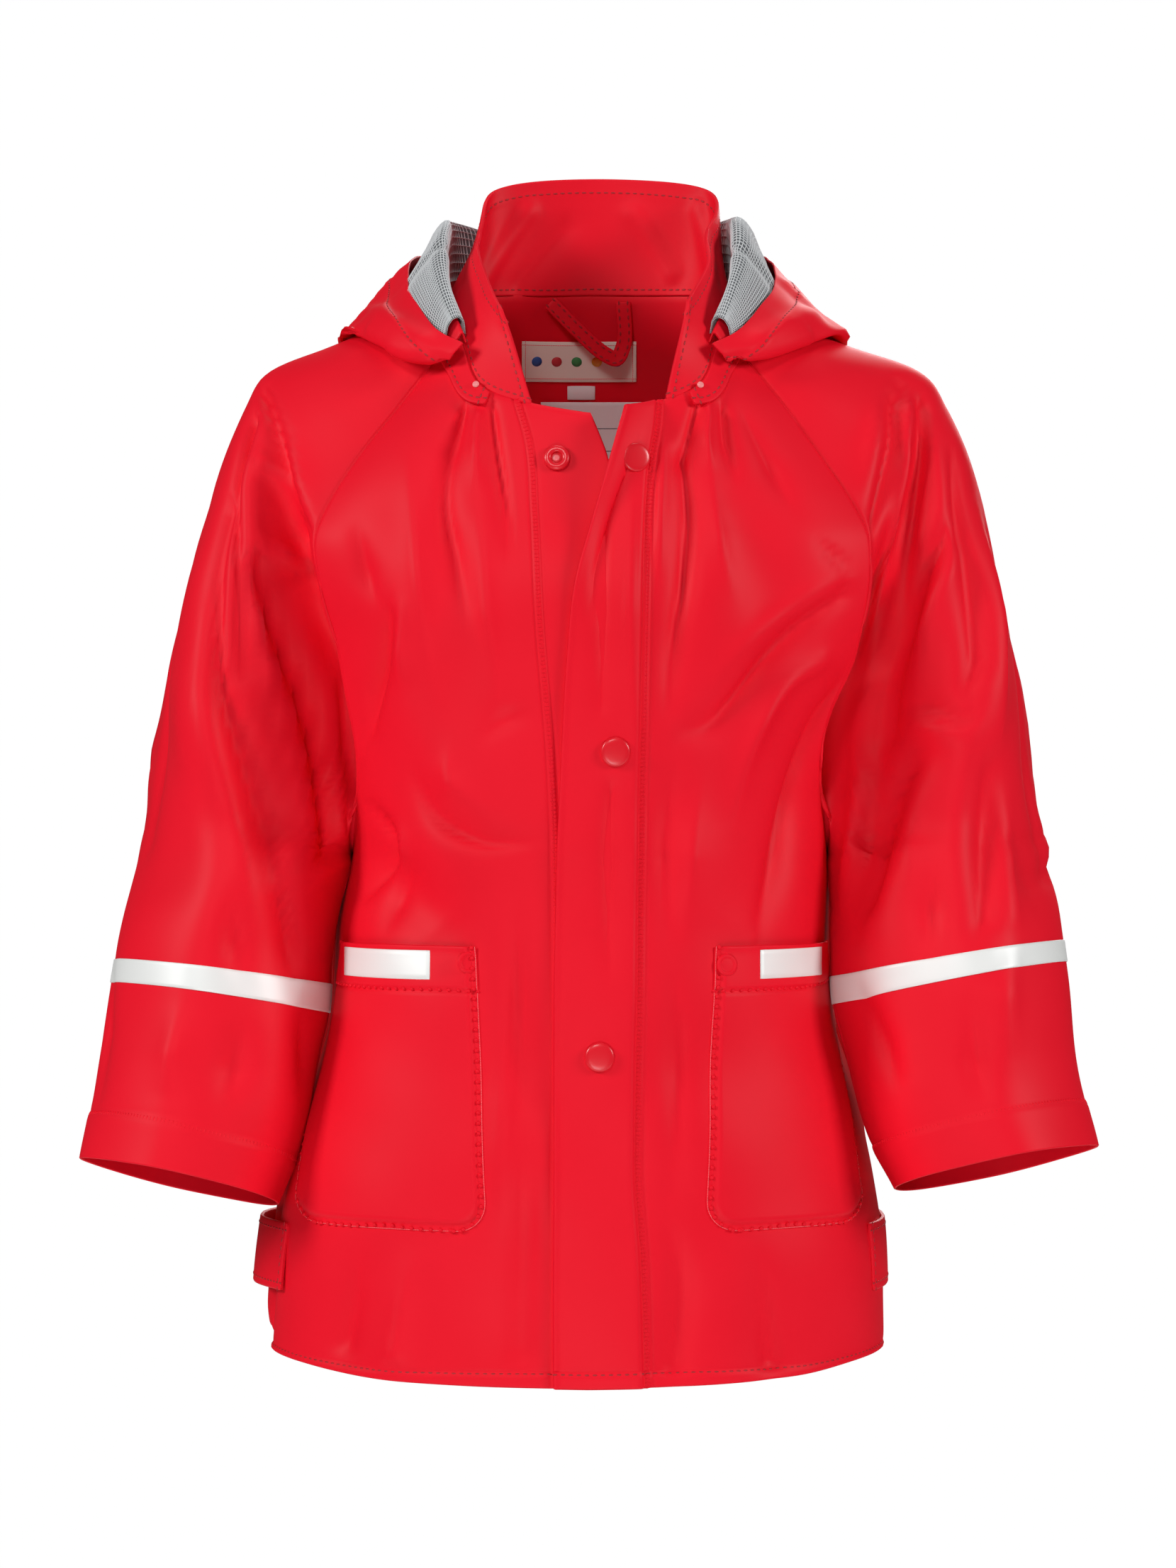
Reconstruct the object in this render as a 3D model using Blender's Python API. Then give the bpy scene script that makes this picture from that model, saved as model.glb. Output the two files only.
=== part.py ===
"""A child's rain jacket of coated cloth, filled out as if worn, with raglan sleeves, a stand collar,
a hood thrown back, patch pockets and a snap placket.

Run with: blender --background --python part.py
Frame: +X to the viewer's right (the wearer's left), -Y towards the viewer, +Z up. The origin is the
middle of the neck, level with the shoulders. Sizes in the tables are millimetres and degrees.
"""

import bpy
import numpy as np

NAME = "kids_rain_jacket"
MM = 0.001
LEFT, RIGHT = -1, 1

# Cloth: wall thickness, half the gap at a seam, and the clearance under what lies on a panel.
CLOTH = 1.2
TRIM = 1.0
HALF_GAP = 0.2
# Below this agreement of the two sides' normals, a seam is a deep crease with walls built apart.
SHARP = 0.55
CLEAR = 0.6

# Heights that the panels are cut to.
HEM_FRONT = -450.0
HEM_BACK = -447.0
HEM_SIDE = -443.0
UNDERARM = -235.0
NECK_FRONT = -52.0
NECK_BACK = 11.0

POCKET_TOP, POCKET_BOTTOM = -272.0, -387.0

# Rows of a front panel: height at the side, height at the placket.
FRONT_ROWS = [
    (HEM_SIDE, HEM_FRONT),
    (POCKET_BOTTOM, POCKET_BOTTOM),
    (POCKET_TOP, POCKET_TOP),
    (UNDERARM, UNDERARM - 4),
    (-12, NECK_FRONT),
]

# Cross-sections of the torso, a superellipse at each height. Above the underarm they reach out
# under the sleeves, so that the chest runs on smoothly into the front of each shoulder.
SECTION_POWER = 2.3
TORSO = [
    # height, left half-width, right half-width, front depth, back depth
    (-455, 139, 127, 104, 96),
    (-400, 135, 126, 103, 95),
    (-370, 130, 122, 102, 94),
    (-340, 120, 114, 100, 92),
    (-300, 110, 103, 98, 90),
    (-270, 106, 101, 97, 89),
    (-235, 101, 102, 97, 88),
    (-210, 102, 104, 96, 88),
    (-175, 110, 112, 96, 87),
    (-150, 118, 126, 95, 87),
    (-120, 136, 143, 92, 86),
    (-104, 140, 145, 89, 85),
    (-89, 134, 138, 85, 83),
    (-68, 119, 122, 78, 78),
    (-48, 101, 104, 71, 71),
    (-26, 81, 83, 63, 61),
    (-12, 69, 71, 60, 54),
    (0, 61, 63, 57, 50),
    (12, 57, 59, 56, 46),
]

# The neckline on the torso: angle from the centre front, height.
NECKLINE = [(0, -52), (12, -47), (26, -38), (38, -22), (50, -12), (75, 0), (95, 5), (130, 9), (180, 11)]

# The raglan seams, from the neck (0) to the underarm (1), as heights and angles on the torso.
RAGLAN = [
    # place, front height, front angle, back height, back angle
    (0.00, -12, 50, 9, 130),
    (0.07, -26, 50, -10, 130),
    (0.17, -48, 50.5, -33, 129.5),
    (0.27, -68, 51, -56, 128.5),
    (0.36, -89, 51.5, -78, 127.5),
    (0.42, -104, 52, -95, 126.5),
    (0.48, -120, 53.5, -113, 125),
    (0.61, -152, 61, -148, 118),
    (0.70, -175, 64, -173, 114.5),
    (0.79, -197, 68.5, -196, 110.5),
    (0.87, -215, 75, -214, 104),
    (0.94, -228, 83, -228, 97),
    (1.00, -235, 90, -235, 90),
]

# How far the rounded corner at a vent is cut back, in degrees round the torso.
VENT_CORNER = [
    # height, cut
    (-443, 12),
    (-440, 7),
    (-434, 3.5),
    (-422, 1),
    (-400, 0),
]

# Upper sleeve, from the neck (0) to the underarm (1), as distance out, depth and height: points on
# the shoulder line, on the front and on the back of the sleeve.
UPPER_SLEEVE = [
    # place, shoulder, front, back
    (0.07, (84, 0, -6), (78, -27, -14), (78, 22, -7)),
    (0.17, (112, 0, -18), (103, -30, -27), (104, 26, -24)),
    (0.27, (138, 0, -29), (130, -24, -38), (130, 22, -37)),
    (0.36, (147, 0, -43), (142, -28, -53), (141, 30, -53)),
    (0.42, (154, 0, -60), (146, -37, -72), (146, 38, -72)),
    (0.48, (162, -1, -81), (147, -44, -92), (148, 44, -92)),
    (0.61, (175, -3, -128), (148, -51, -136), (149, 48, -136)),
    (0.79, (184, -5, -182), (149, -54, -188), (149, 48, -188)),
    (0.87, (187, -5, -203), (149, -54, -205), (149, 48, -205)),
    (0.93, (189, -6, -217), (149, -54, -219), (148, 46, -219)),
]
# How much further out the right shoulder lies, by place.
RIGHT_SPARE = [(0.07, 0), (0.17, 4), (0.27, 6), (0.42, 7.5), (0.61, 5), (0.93, 4.5)]
# The creases where the sleeve meets the chest and the back, as steps from the raglan seams.
SLEEVE_CREASE = [
    # place, from the front seam: out, back, up; from the back seam: out, back, up
    (0.07, (8, 5, 6), (14, -4, 2)),
    (0.17, (12, 6, 11), (20, -5, 3)),
    (0.27, (19, 12, 17), (24, -8, 8)),
    (0.36, (23, 19, 25), (23, -7, 12)),
    (0.42, (15, 20, 22), (19, -5, 11)),
    (0.48, (7, 18, 12), (15, -5, 9)),
    (0.61, (3, 22, 4), (11, -8, 3)),
    (0.79, (3, 18, 2), (9, -4, 0)),
    (0.87, (7, -1, 1), (9, 5, 0)),
    (0.93, (8, -15, 0), (9, 12, 0)),
]

# Lower sleeve rings, from the underarm (1) to the cuff (2): the outer and inner end of each ring,
# its middle's depth, its half-depth, and how far its front is raised over its back.
LOWER_SLEEVE = {
    LEFT: [
        # place, outer out, height, inner out, height, depth, half-depth, rise
        (1.00, 192, -232, 101, -235, -6, 52, 0),
        (1.15, 197, -262, 109, -268, -18, 49, 3),
        (1.35, 203, -294, 112, -308, -28, 45, 5),
        (1.70, 209, -338, 121, -354, -38, 42, 7),
        (2.00, 213, -362, 131, -380, -45, 40, 8),
    ],
    RIGHT: [
        (1.00, 198, -228, 102, -235, -6, 52, 0),
        (1.15, 201, -255, 106, -266, -18, 49, 3),
        (1.35, 203, -285, 108, -304, -28, 45, 5),
        (1.70, 208, -330, 117, -350, -38, 42, 7),
        (2.00, 213, -357, 129, -374, -45, 40, 8),
    ],
}
# Half the seam gap along a sleeve's raglan seams, wider in the pit of the arm.
SLEEVE_GAP = [(0.0, HALF_GAP), (0.79, HALF_GAP), (0.87, 1.2), (0.94, 1.2), (1.0, HALF_GAP)]
STATION_PLACES = [0.0, 0.15, 0.28, 0.5, 0.72, 0.85, 1.0]
STATION_ANGLES = [0, 48, 96, 180, 264, 312, 360]
STRIP_TOP, STRIP_BOTTOM = 1.256, 1.316

# Placket lines by height: how far each lies to the right of the centre.
LEFT_SEAM = [(-451, -12.6), (-360, -12.6), (-232, -13.5), (-195, -15.2), (-141, -19.5), (-93, -22),
             (-63, -24.5), (-44, -30)]
RIGHT_SEAM = [(-451, 24.5), (-397, 22.8), (-360, 20.5), (-232, 22.3), (-153, 23.4), (-105, 24.6),
              (-69, 27), (-57, 29), (-44, 30)]
UNDERLAP_EDGE = [(-451, 15), (-360, 13.5), (-150, 15), (-100, 13), (-72, 8.3), (-46, -1.6)]
OVERLAP_EDGE = [(-451, -13.5), (-360, -13.3), (-232, -12), (-200, -10.6), (-153, -8), (-123, -5),
                (-100, 0.7), (-74, 8), (-46, 15.5)]
# How far the overlap's free edge springs forward, by height.
OVERLAP_CURL = [(-451, 0), (-140, 0), (-105, 3), (-75, 8), (-46, 13)]

# Collar's top edge: angle of the point on the neckline below it, then its own place.
COLLAR_TOP = [
    # angle, x, y, height
    (-11, -36, -60, -8),
    (-26, -41, -48, 2),
    (-45, -45, -31, 13),
    (-70, -48, -9, 26),
    (-95, -47, 13, 38),
    (-130, -42, 33, 54),
    (-180, 3, 45, 61),
    (-230, 52, 34, 55),
    (-265, 55, 13, 42),
    (-290, 51, -9, 30),
    (-315, 52, -30, 15),
    (-332, 47, -45, 4),
    (-344, 42, -57, -4),
]

# Hood, thrown back: six sections from the front end round to the centre back. Each runs from the
# neck seam over the crest beside the collar, down to the pouch's fold and up to the face edge.
HOOD = [
    # seam, crest, fall, floor, fold, side, rim: distance out, depth, height of each
    [(51, -53, -20.5), (52.5, -55, -17), (54, -55, -18.5), (56, -55, -22), (58, -58, -28.5),
     (56.5, -60.5, -26), (52.5, -61, -21.5)],
    [(57, -43, -9), (59, -42, 2), (63, -40, -2), (69, -41, -16), (75, -48, -25), (72, -53, -21),
     (63.5, -52, -15)],
    [(62, -21, 2), (62.5, -18, 18), (67, -17, 11), (79, -21, -7), (92, -30, -18), (86, -35, -11),
     (72.5, -33, -3)],
    [(63, 5, 8), (62.5, 10, 34), (69, 9, 22), (83, 4, 1), (108, 1, -12), (93.5, -7, -3), (79, -7, 10)],
    [(55, 38, 13), (60, 43, 39), (68, 48, 22), (84, 54, -12), (104, 52, -33), (98, 59, -4), (75, 48, 28)],
    [(30, 54, 13), (33, 68, 35), (40, 79, 8), (54, 92, -45), (60, 104, -96), (62, 114, -46), (47, 105, 14)],
    [(0, 56, 14), (0, 70, 35), (0, 81, 8), (0, 96, -68), (0, 110, -136), (0, 126, -66), (0, 118, 8)],
]
# How far the hood's middle sits to the right of the neck's, by place round the neck.
HOOD_SHIFT = [(0, 0), (1, 0), (2, 0.7), (3, 1.5), (6, 2)]
# Where the seven points lie along a section.
HOOD_SHARES = [0, 0.12, 0.24, 0.42, 0.6, 0.8, 1]

# The largest folds of the cloth, by the line that each follows in the front or back view.
FOLDS = [
    # face, x and height at one end, x and height at the other, half-width, depth (a ridge is above 0)
    (-1, -100, -222, -62, -262, 13, -6),
    (-1, -62, -262, -22, -330, 16, -3),
    (-1, -78, -120, -66, -205, 13, 3),
    (-1, 96, -205, 60, -262, 16, -4),
    (-1, 62, -90, 88, -160, 15, -3),
    (-1, -176, -120, -150, -262, 12, 4),
    (-1, 172, -110, 150, -240, 12, 4),
    (1, -70, -150, -34, -330, 20, -5),
    (1, 74, -140, 30, -300, 22, -5),
    (1, 4, -190, 10, -430, 24, 4),
    (1, 150, -120, 172, -262, 14, -4),
    (1, -150, -130, -170, -260, 14, -4),
]

# Pockets on the fronts: place across of the edge nearest the placket and of the far edge, each at
# the top and at the bottom.
POCKET_INNER = {LEFT: (-46.5, -41), RIGHT: (52, 48)}
POCKET_OUTER = {LEFT: (-103, -124), RIGHT: (99, 117)}
POCKET_CORNER = 12.0
POCKET_STRIP = {LEFT: (-102, -65), RIGHT: (71, 98)}
POCKET_STRIP_TOP, POCKET_STRIP_BOTTOM = -273.5, -285.0

# Snaps down the overlap: place across, height and clearance over the cloth. The socket on the
# underlap: place across and height.
CAPS = [(19.5, -71, 1.0), (11.2, -192, 0.3), (4.7, -316, 0.3)]
SOCKET = (-12.8, -71)
GAP = 0.3
SNAP_SIDES = 20
# Profiles of the snap parts: radius and height.
CAP = [(6.0, 0.0), (6.0, 0.9), (5.2, 1.7), (3.6, 2.0), (1.2, 2.1)]
SOCKET_RING = [(2.4, 0.0), (5.4, 0.0), (5.4, 0.8), (4.6, 1.5), (2.8, 1.5), (2.4, 0.9), (2.4, 0.0)]
SMALL_SNAP = [(2.6, 0.0), (2.6, 0.5), (2.0, 1.0), (0.8, 1.1)]

# Straps over the side vents: from the front round to the back, from the top to the bottom, and how
# far each bows out from the side.
STRAP_ANGLES = (68.0, 112.0)
STRAP_HEIGHTS = (-390.0, -417.0)
STRAP_BOW = {LEFT: 5.5, RIGHT: 0.5}

# Hood tabs: angles from the hood's end to the tip, how far they reach down from the neckline.
TAB_ANGLES = (44.0, 26.0)
TAB_DROP = (2.0, 16.0)
TAB_SNAP = (48.0, -33.0)

# Labels inside the back of the neck: place across of the two ends, top and bottom.
LABELS = [
    ("label_neck", -29.5, 21.5, -9.0, -25.5),
    ("label_size", -9.0, 3.0, -27.5, -33.0),
    ("label_name", -21.0, 24.5, -34.5, -72.0),
]

# The hanger loop's middle line, and its width.
LOOP_WIDTH = 6.0
LOOP_LINE = [
    # place, x, depth, height
    (0.0, -16.5, 43.5, 7),
    (0.25, -5, 45.0, -4.5),
    (0.5, 8, 47.0, -15.5),
    (0.62, 13, 47.5, -17),
    (0.72, 15.5, 47.0, -12),
    (1.0, 15.5, 43.5, 7),
]

# How finely the pieces are drawn. Rows of the body panels: heights of their sides below the
# underarm, then places along the raglan seams, which the upper sleeves share.
BODY_HEIGHTS = [HEM_SIDE, -439, -430.5, -416, -401.5, POCKET_BOTTOM, POCKET_BOTTOM + 3.5,
                POCKET_BOTTOM + 10.6, -354, -332, -310, -290, POCKET_TOP, -253]
POCKET_ROWS = slice(5, 13)
RAGLAN_PLACES = [1.0, 0.94, 0.87, 0.79, 0.7, 0.61, 0.54, 0.48, 0.42, 0.36, 0.29, 0.22, 0.15, 0.07, 0.0]
LOWER_PLACES = [1.07, 1.15, STRIP_TOP, STRIP_BOTTOM, 1.42, 1.56, 1.7, 1.85, 2.0]
SLEEVE_AROUND = [0, 0.05, 0.1, 0.15, 0.2, 0.25, 0.31, 0.38, 0.44, 0.5, 0.56, 0.62, 0.69, 0.75, 0.8, 0.85,
                 0.9, 0.95, 1.0]
# Columns of a front: from the side to the pocket, over the pocket and on to the placket.
FRONT_COLUMNS = (3, 7, 3)
BACK_COLUMNS = 20
UNDERLAP_SHARES = [0, 0.3, 0.65, 1.0]
OVERLAP_SHARES = [0, 0.09, 0.4, 0.7, 1.0]
COLLAR_ROWS, COLLAR_COLUMNS = 6, 38
COLLAR_START = 0.03
HOOD_PLACES = [0, 0.5, 1, 1.5, 2, 2.5, 3, 3.5, 4, 4.5, 5, 5.5, 6, 6.5, 7, 7.5, 8, 8.5, 9, 9.5, 10, 10.5, 11,
               11.5, 12]
SHELL_SHARES = [0, 0.07, 0.12, 0.18, 0.27, 0.38, 0.48, 0.55, 0.6, 0.65, 0.72, 0.82, 0.92, 1.0]
# The part of the shell that the mesh lining lies on: places round the neck, then shares.
LINED = slice(2, -2), slice(1, 7)

# Colours, linear.
RED = (0.68, 0.010, 0.020)
SNAP_RED = (0.60, 0.010, 0.020)
GREY_MESH = (0.42, 0.43, 0.44)
SILVER = (0.80, 0.81, 0.80)
WHITE = (0.82, 0.82, 0.80)


def smooth(places, values, at, steady=False):
    """Values at the places asked for, on a smooth curve through the rows.

    A steady curve doesn't swing past its rows.
    """
    places = np.asarray(places, float)
    values = np.asarray(values, float)
    at = np.clip(np.asarray(at, float), places[0], places[-1])
    spans = np.diff(places)
    wide = spans.reshape((-1,) + (1,) * (values.ndim - 1))
    slopes = np.diff(values, axis=0) / wide
    inner = (wide[1:] * slopes[:-1] + wide[:-1] * slopes[1:]) / (wide[1:] + wide[:-1])
    if steady:
        limit = 3 * np.minimum(abs(slopes[1:]), abs(slopes[:-1]))
        inner = np.where(slopes[1:] * slopes[:-1] > 0, np.clip(inner, -limit, limit), 0)
    tangents = np.concatenate([slopes[:1], inner, slopes[-1:]])
    low = np.clip(np.searchsorted(places, at, side="right") - 1, 0, len(spans) - 1)
    part = ((at - places[low]) / spans[low]).reshape(at.shape + (1,) * (values.ndim - 1))
    span = wide[low]
    start, end = values[low], values[low + 1]
    bend = (1 - part) * tangents[low] * span - part * tangents[low + 1] * span
    ease = part * part * (3 - 2 * part)
    straight = start * (1 - ease) + end * ease
    return straight + part * (1 - part) * bend


def column(rows, index):
    return [row[index] for row in rows]


def by_first(rows, at):
    """The rows' other columns at the places asked for in their first column."""
    return smooth(column(rows, 0), [row[1:] for row in rows], at, steady=True)


def torso(angle, height):
    """A point on the torso: angle from the centre front, positive to the right."""
    angle, height = np.broadcast_arrays(np.asarray(angle, float), np.asarray(height, float))
    size = by_first(TORSO, height)
    sine, cosine = np.sin(np.radians(angle)), np.cos(np.radians(angle))
    half = np.where(sine < 0, size[..., 0], size[..., 1])
    depth = np.where(cosine > 0, size[..., 2], size[..., 3])
    power = 2 / SECTION_POWER
    x = np.sign(sine) * half * np.abs(sine) ** power
    y = -np.sign(cosine) * depth * np.abs(cosine) ** power
    return np.stack([x, y, height], axis=-1)


def angle_at(x, height, back=False):
    """The torso angle whose point lies x to the right."""
    size = by_first(TORSO, height)
    half = np.where(np.asarray(x) < 0, size[..., 0], size[..., 1])
    share = np.clip(np.abs(x) / half, 0, 1)
    angle = np.degrees(np.arcsin(share ** (SECTION_POWER / 2)))
    return np.sign(x) * (180 - angle if back else angle)


def neck_height(angle):
    return by_first(NECKLINE, np.abs(angle))[..., 0]


def side_edge(level, back):
    """Height and angle of a panel's side: level 0 is the hem, 1 the underarm and 2 the neck."""
    level = np.asarray(level, float)
    seam = by_first(RAGLAN, np.clip(2 - level, 0, 1))
    raglan_height, raglan_angle = (seam[..., 2], seam[..., 3]) if back else (seam[..., 0], seam[..., 1])
    height = HEM_SIDE + (UNDERARM - HEM_SIDE) * np.clip(level, 0, 1)
    cut = by_first(VENT_CORNER, height)[..., 0]
    angle = 90 + cut if back else 90 - cut
    above = level > 1
    return np.where(above, raglan_height, height), np.where(above, raglan_angle, angle)


def row_height(level, angle, back):
    """Height of a panel's row at an angle: level at the side, following the neckline at the top."""
    side_height, side_angle = side_edge(level, back)
    if back:
        middle = np.interp(side_height, [HEM_SIDE, UNDERARM, 9], [HEM_BACK, UNDERARM - 3, NECK_BACK])
        share = (180 - np.abs(angle)) / (180 - side_angle)
        low, high = neck_height(130), neck_height(180)
        shape = (neck_height(180 - 50 * share) - low) / (high - low)
    else:
        middle = np.interp(side_height, *zip(*FRONT_ROWS))
        share = np.abs(angle) / side_angle
        low, high = neck_height(50), neck_height(0)
        shape = (neck_height(50 * share) - low) / (high - low)
    return side_height + (middle - side_height) * shape


def line_angle(level, line):
    """Angle at which a placket line crosses a front row."""
    angle = np.zeros_like(level)
    for _ in range(6):
        height = row_height(level, angle, False)
        x = by_first(line, height)[..., 0]
        angle = angle_at(x, height)
    return angle


def spread(start, end, count):
    """A grid of values: a row for each start and end, count columns between them."""
    share = np.linspace(0, 1, count)
    return np.outer(start, 1 - share) + np.outer(end, share)


def level_at(height):
    """The level of a row whose side lies at a height below the underarm."""
    return (height - HEM_SIDE) / (UNDERARM - HEM_SIDE)


def front_grid(side, levels, counts):
    """A front panel from its side edge to its placket seam.

    The counts are the columns from the side to the pocket, over the pocket and on to the seam.
    """
    _, edge = side_edge(levels, False)
    seam = line_angle(levels, LEFT_SEAM if side == LEFT else RIGHT_SEAM)
    ends = np.array([level_at(POCKET_BOTTOM), level_at(POCKET_TOP)])
    end_edge = side_edge(ends, False)[1]
    end_seam = abs(line_angle(ends, LEFT_SEAM if side == LEFT else RIGHT_SEAM))
    limits = [np.zeros_like(levels)]
    for line in (POCKET_OUTER, POCKET_INNER):
        angle = abs(angle_at(np.array(line[side][::-1], float), np.array([POCKET_BOTTOM, POCKET_TOP])))
        limits.append(np.interp(levels, ends, (end_edge - angle) / (end_edge - end_seam)))
    limits.append(np.ones_like(levels))
    parts = [spread(limits[k], limits[k + 1], counts[k] + 1)[:, (k > 0):] for k in range(3)]
    share = np.concatenate(parts, axis=1)
    angle = (side * edge)[:, None] * (1 - share) + seam[:, None] * share
    return torso(angle, row_height(levels[:, None], angle, False))


def band_grid(side, levels, shares):
    """A placket band from its seam to its free edge."""
    seam = line_angle(levels, LEFT_SEAM if side == LEFT else RIGHT_SEAM)
    edge = line_angle(levels, UNDERLAP_EDGE if side == LEFT else OVERLAP_EDGE)
    angle = np.outer(seam, 1 - shares) + np.outer(edge, shares)
    return torso(angle, row_height(levels[:, None], angle, False))


def back_grid(levels, columns):
    """The back panel from its left edge to its right edge."""
    _, edge = side_edge(levels, True)
    angle = spread(edge, 360 - edge, columns)
    mirrored = np.where(angle > 180, 360 - angle, angle)
    height = row_height(levels[:, None], mirrored, True)
    return torso(-angle, height)


def ring_stations(side):
    """The seven stations of every tabled sleeve ring, from the front edge round to the back edge."""
    rows = []
    neck_angles = np.array([50, 60, 72, 90, 108, 120, 130.0])
    rows.append((0.0, torso(side * neck_angles, neck_height(neck_angles))))
    flip = np.array([side, 1, 1])
    for (place, *outer), (_, front_step, back_step) in zip(UPPER_SLEEVE, SLEEVE_CREASE):
        spare = np.interp(place, *zip(*RIGHT_SPARE)) if side == RIGHT else 0
        moved = np.array(outer, float) + np.outer((1, 0.5, 0.5), (spare, 0, 0))
        shoulder, front, back = moved * flip
        seam = by_first(RAGLAN, place)
        front_edge = torso(side * seam[1], seam[0])
        back_edge = torso(side * seam[3], seam[2])
        front_crease = front_edge + front_step * flip
        back_crease = back_edge + back_step * flip
        rows.append((place, np.array([front_edge, front_crease, front, shoulder, back, back_crease, back_edge])))
    turn = np.radians(STATION_ANGLES)
    for place, out, high, inner, low, depth, half_depth, rise in LOWER_SLEEVE[side]:
        along = (1 - np.cos(turn)) / 2
        across = -np.sin(turn)
        x = side * (inner + (out - inner) * along)
        y = depth + half_depth * across
        z = low + (high - low) * along - rise * across
        ring = np.stack([x, y, z], axis=-1)
        rows.append((place, ring))
    return rows


def sleeve_grid(side, places, around):
    """Sleeve points: a ring for each place, from the front raglan seam round to the back one."""
    rows = ring_stations(side)
    stations = smooth(column(rows, 0), column(rows, 1), places)
    grid = []
    for place, ring in zip(places, stations):
        if place <= 1:
            seam = by_first(RAGLAN, place)
            ring[0] = torso(side * seam[1], seam[0])
            ring[-1] = torso(side * seam[3], seam[2])
        closed = np.clip((place - 0.93) / 0.07, 0, 1)
        before = (1 - closed) * (2 * ring[0] - ring[1]) + closed * ring[-2]
        after = (1 - closed) * (2 * ring[-1] - ring[-2]) + closed * ring[1]
        extended = np.vstack([before, ring, after])
        where = [-STATION_PLACES[1], *STATION_PLACES, 1 + STATION_PLACES[1]]
        grid.append(smooth(where, extended, around))
    grid = np.array(grid)
    return grid


def welded_normals(grids, outwards):
    """A normal for each point, shared by all grids with a point there, and how well they agree."""
    points = np.concatenate([grid.reshape(-1, 3) for grid in grids])
    _, group = np.unique(np.round(points, 2), axis=0, return_inverse=True)
    group = group.reshape(-1)
    totals = np.zeros((group.max() + 1, 3))
    weights = np.zeros(group.max() + 1)
    start = 0
    for grid, away in zip(grids, outwards):
        rows, columns = grid.shape[:2]
        ids = group[start:start + rows * columns].reshape(rows, columns)
        start += rows * columns
        faces = np.cross(grid[1:, 1:] - grid[:-1, :-1], grid[1:, :-1] - grid[:-1, 1:])
        away = np.broadcast_to(away, grid.shape)
        if np.sum(faces * away[:-1, :-1]) < 0:
            faces = -faces
        faces = faces / np.maximum(np.linalg.norm(faces, axis=-1, keepdims=True), 1e-9)
        for corner in (ids[:-1, :-1], ids[1:, :-1], ids[:-1, 1:], ids[1:, 1:]):
            np.add.at(totals, corner.reshape(-1), faces.reshape(-1, 3))
            np.add.at(weights, corner.reshape(-1), 1)
    sizes = np.linalg.norm(totals, axis=-1)
    normals = totals / np.maximum(sizes, 1e-9)[:, None]
    agreement = sizes / np.maximum(weights, 1e-9)
    result, start = [], 0
    for grid in grids:
        ids = group[start:start + grid.shape[0] * grid.shape[1]]
        start += len(ids)
        result.append((normals[ids].reshape(grid.shape), agreement[ids].reshape(grid.shape[:2])))
    return result


def fold_height(points, normals):
    """How far the cloth is moved out at each point by the folds."""
    total = np.zeros(points.shape[:-1])
    place = points[..., [0, 2]]
    for face, x0, z0, x1, z1, width, depth in FOLDS:
        start, end = np.array([x0, z0]), np.array([x1, z1])
        along = end - start
        share = np.clip((place - start) @ along / (along @ along), 0, 1)
        away = np.linalg.norm(place - (start + share[..., None] * along), axis=-1)
        taper = 0.35 + 0.65 * np.sin(np.pi * share)
        facing = np.clip(normals[..., 1] * face * 1.6, 0, 1)
        total += depth * taper * facing * np.exp(-(away / width) ** 2)
    return total


def shrink(grid, sides, gap=HALF_GAP):
    """The grid with the named sides drawn in by half a seam gap."""
    grid = grid.copy()
    for side in sides:
        edge, inner = {
            "first row": (grid[0], grid[1]),
            "last row": (grid[-1], grid[-2]),
            "first column": (grid[:, 0], grid[:, 1]),
            "last column": (grid[:, -1], grid[:, -2]),
        }[side]
        step = inner - edge
        edge += gap * step / np.maximum(np.linalg.norm(step, axis=-1, keepdims=True), 1e-9)
    return grid


def cells(rows, columns):
    """The faces over a grid, every cell split along the same diagonal."""
    index = np.arange(rows * columns).reshape(rows, columns)
    first = np.stack([index[:-1, :-1], index[:-1, 1:], index[1:, 1:]], axis=-1)
    second = np.stack([index[:-1, :-1], index[1:, 1:], index[1:, :-1]], axis=-1)
    return np.stack([first, second], axis=2).reshape(-1, 3)


def material(name, colour, roughness, metallic=0.0):
    made = bpy.data.materials.new(name)
    made.use_nodes = True
    shader = made.node_tree.nodes["Principled BSDF"]
    shader.inputs["Base Color"].default_value = (*colour, 1)
    shader.inputs["Roughness"].default_value = roughness
    shader.inputs["Metallic"].default_value = metallic
    return made


def add_object(collection, name, points, faces, finish):
    mesh = bpy.data.meshes.new(name)
    mesh.from_pydata([tuple(point) for point in np.asarray(points) * MM], [], [list(map(int, f)) for f in faces])
    mesh.validate()
    mesh.update()
    mesh.shade_smooth()
    made = bpy.data.objects.new(name, mesh)
    made.data.materials.append(finish)
    collection.objects.link(made)
    return made


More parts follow.
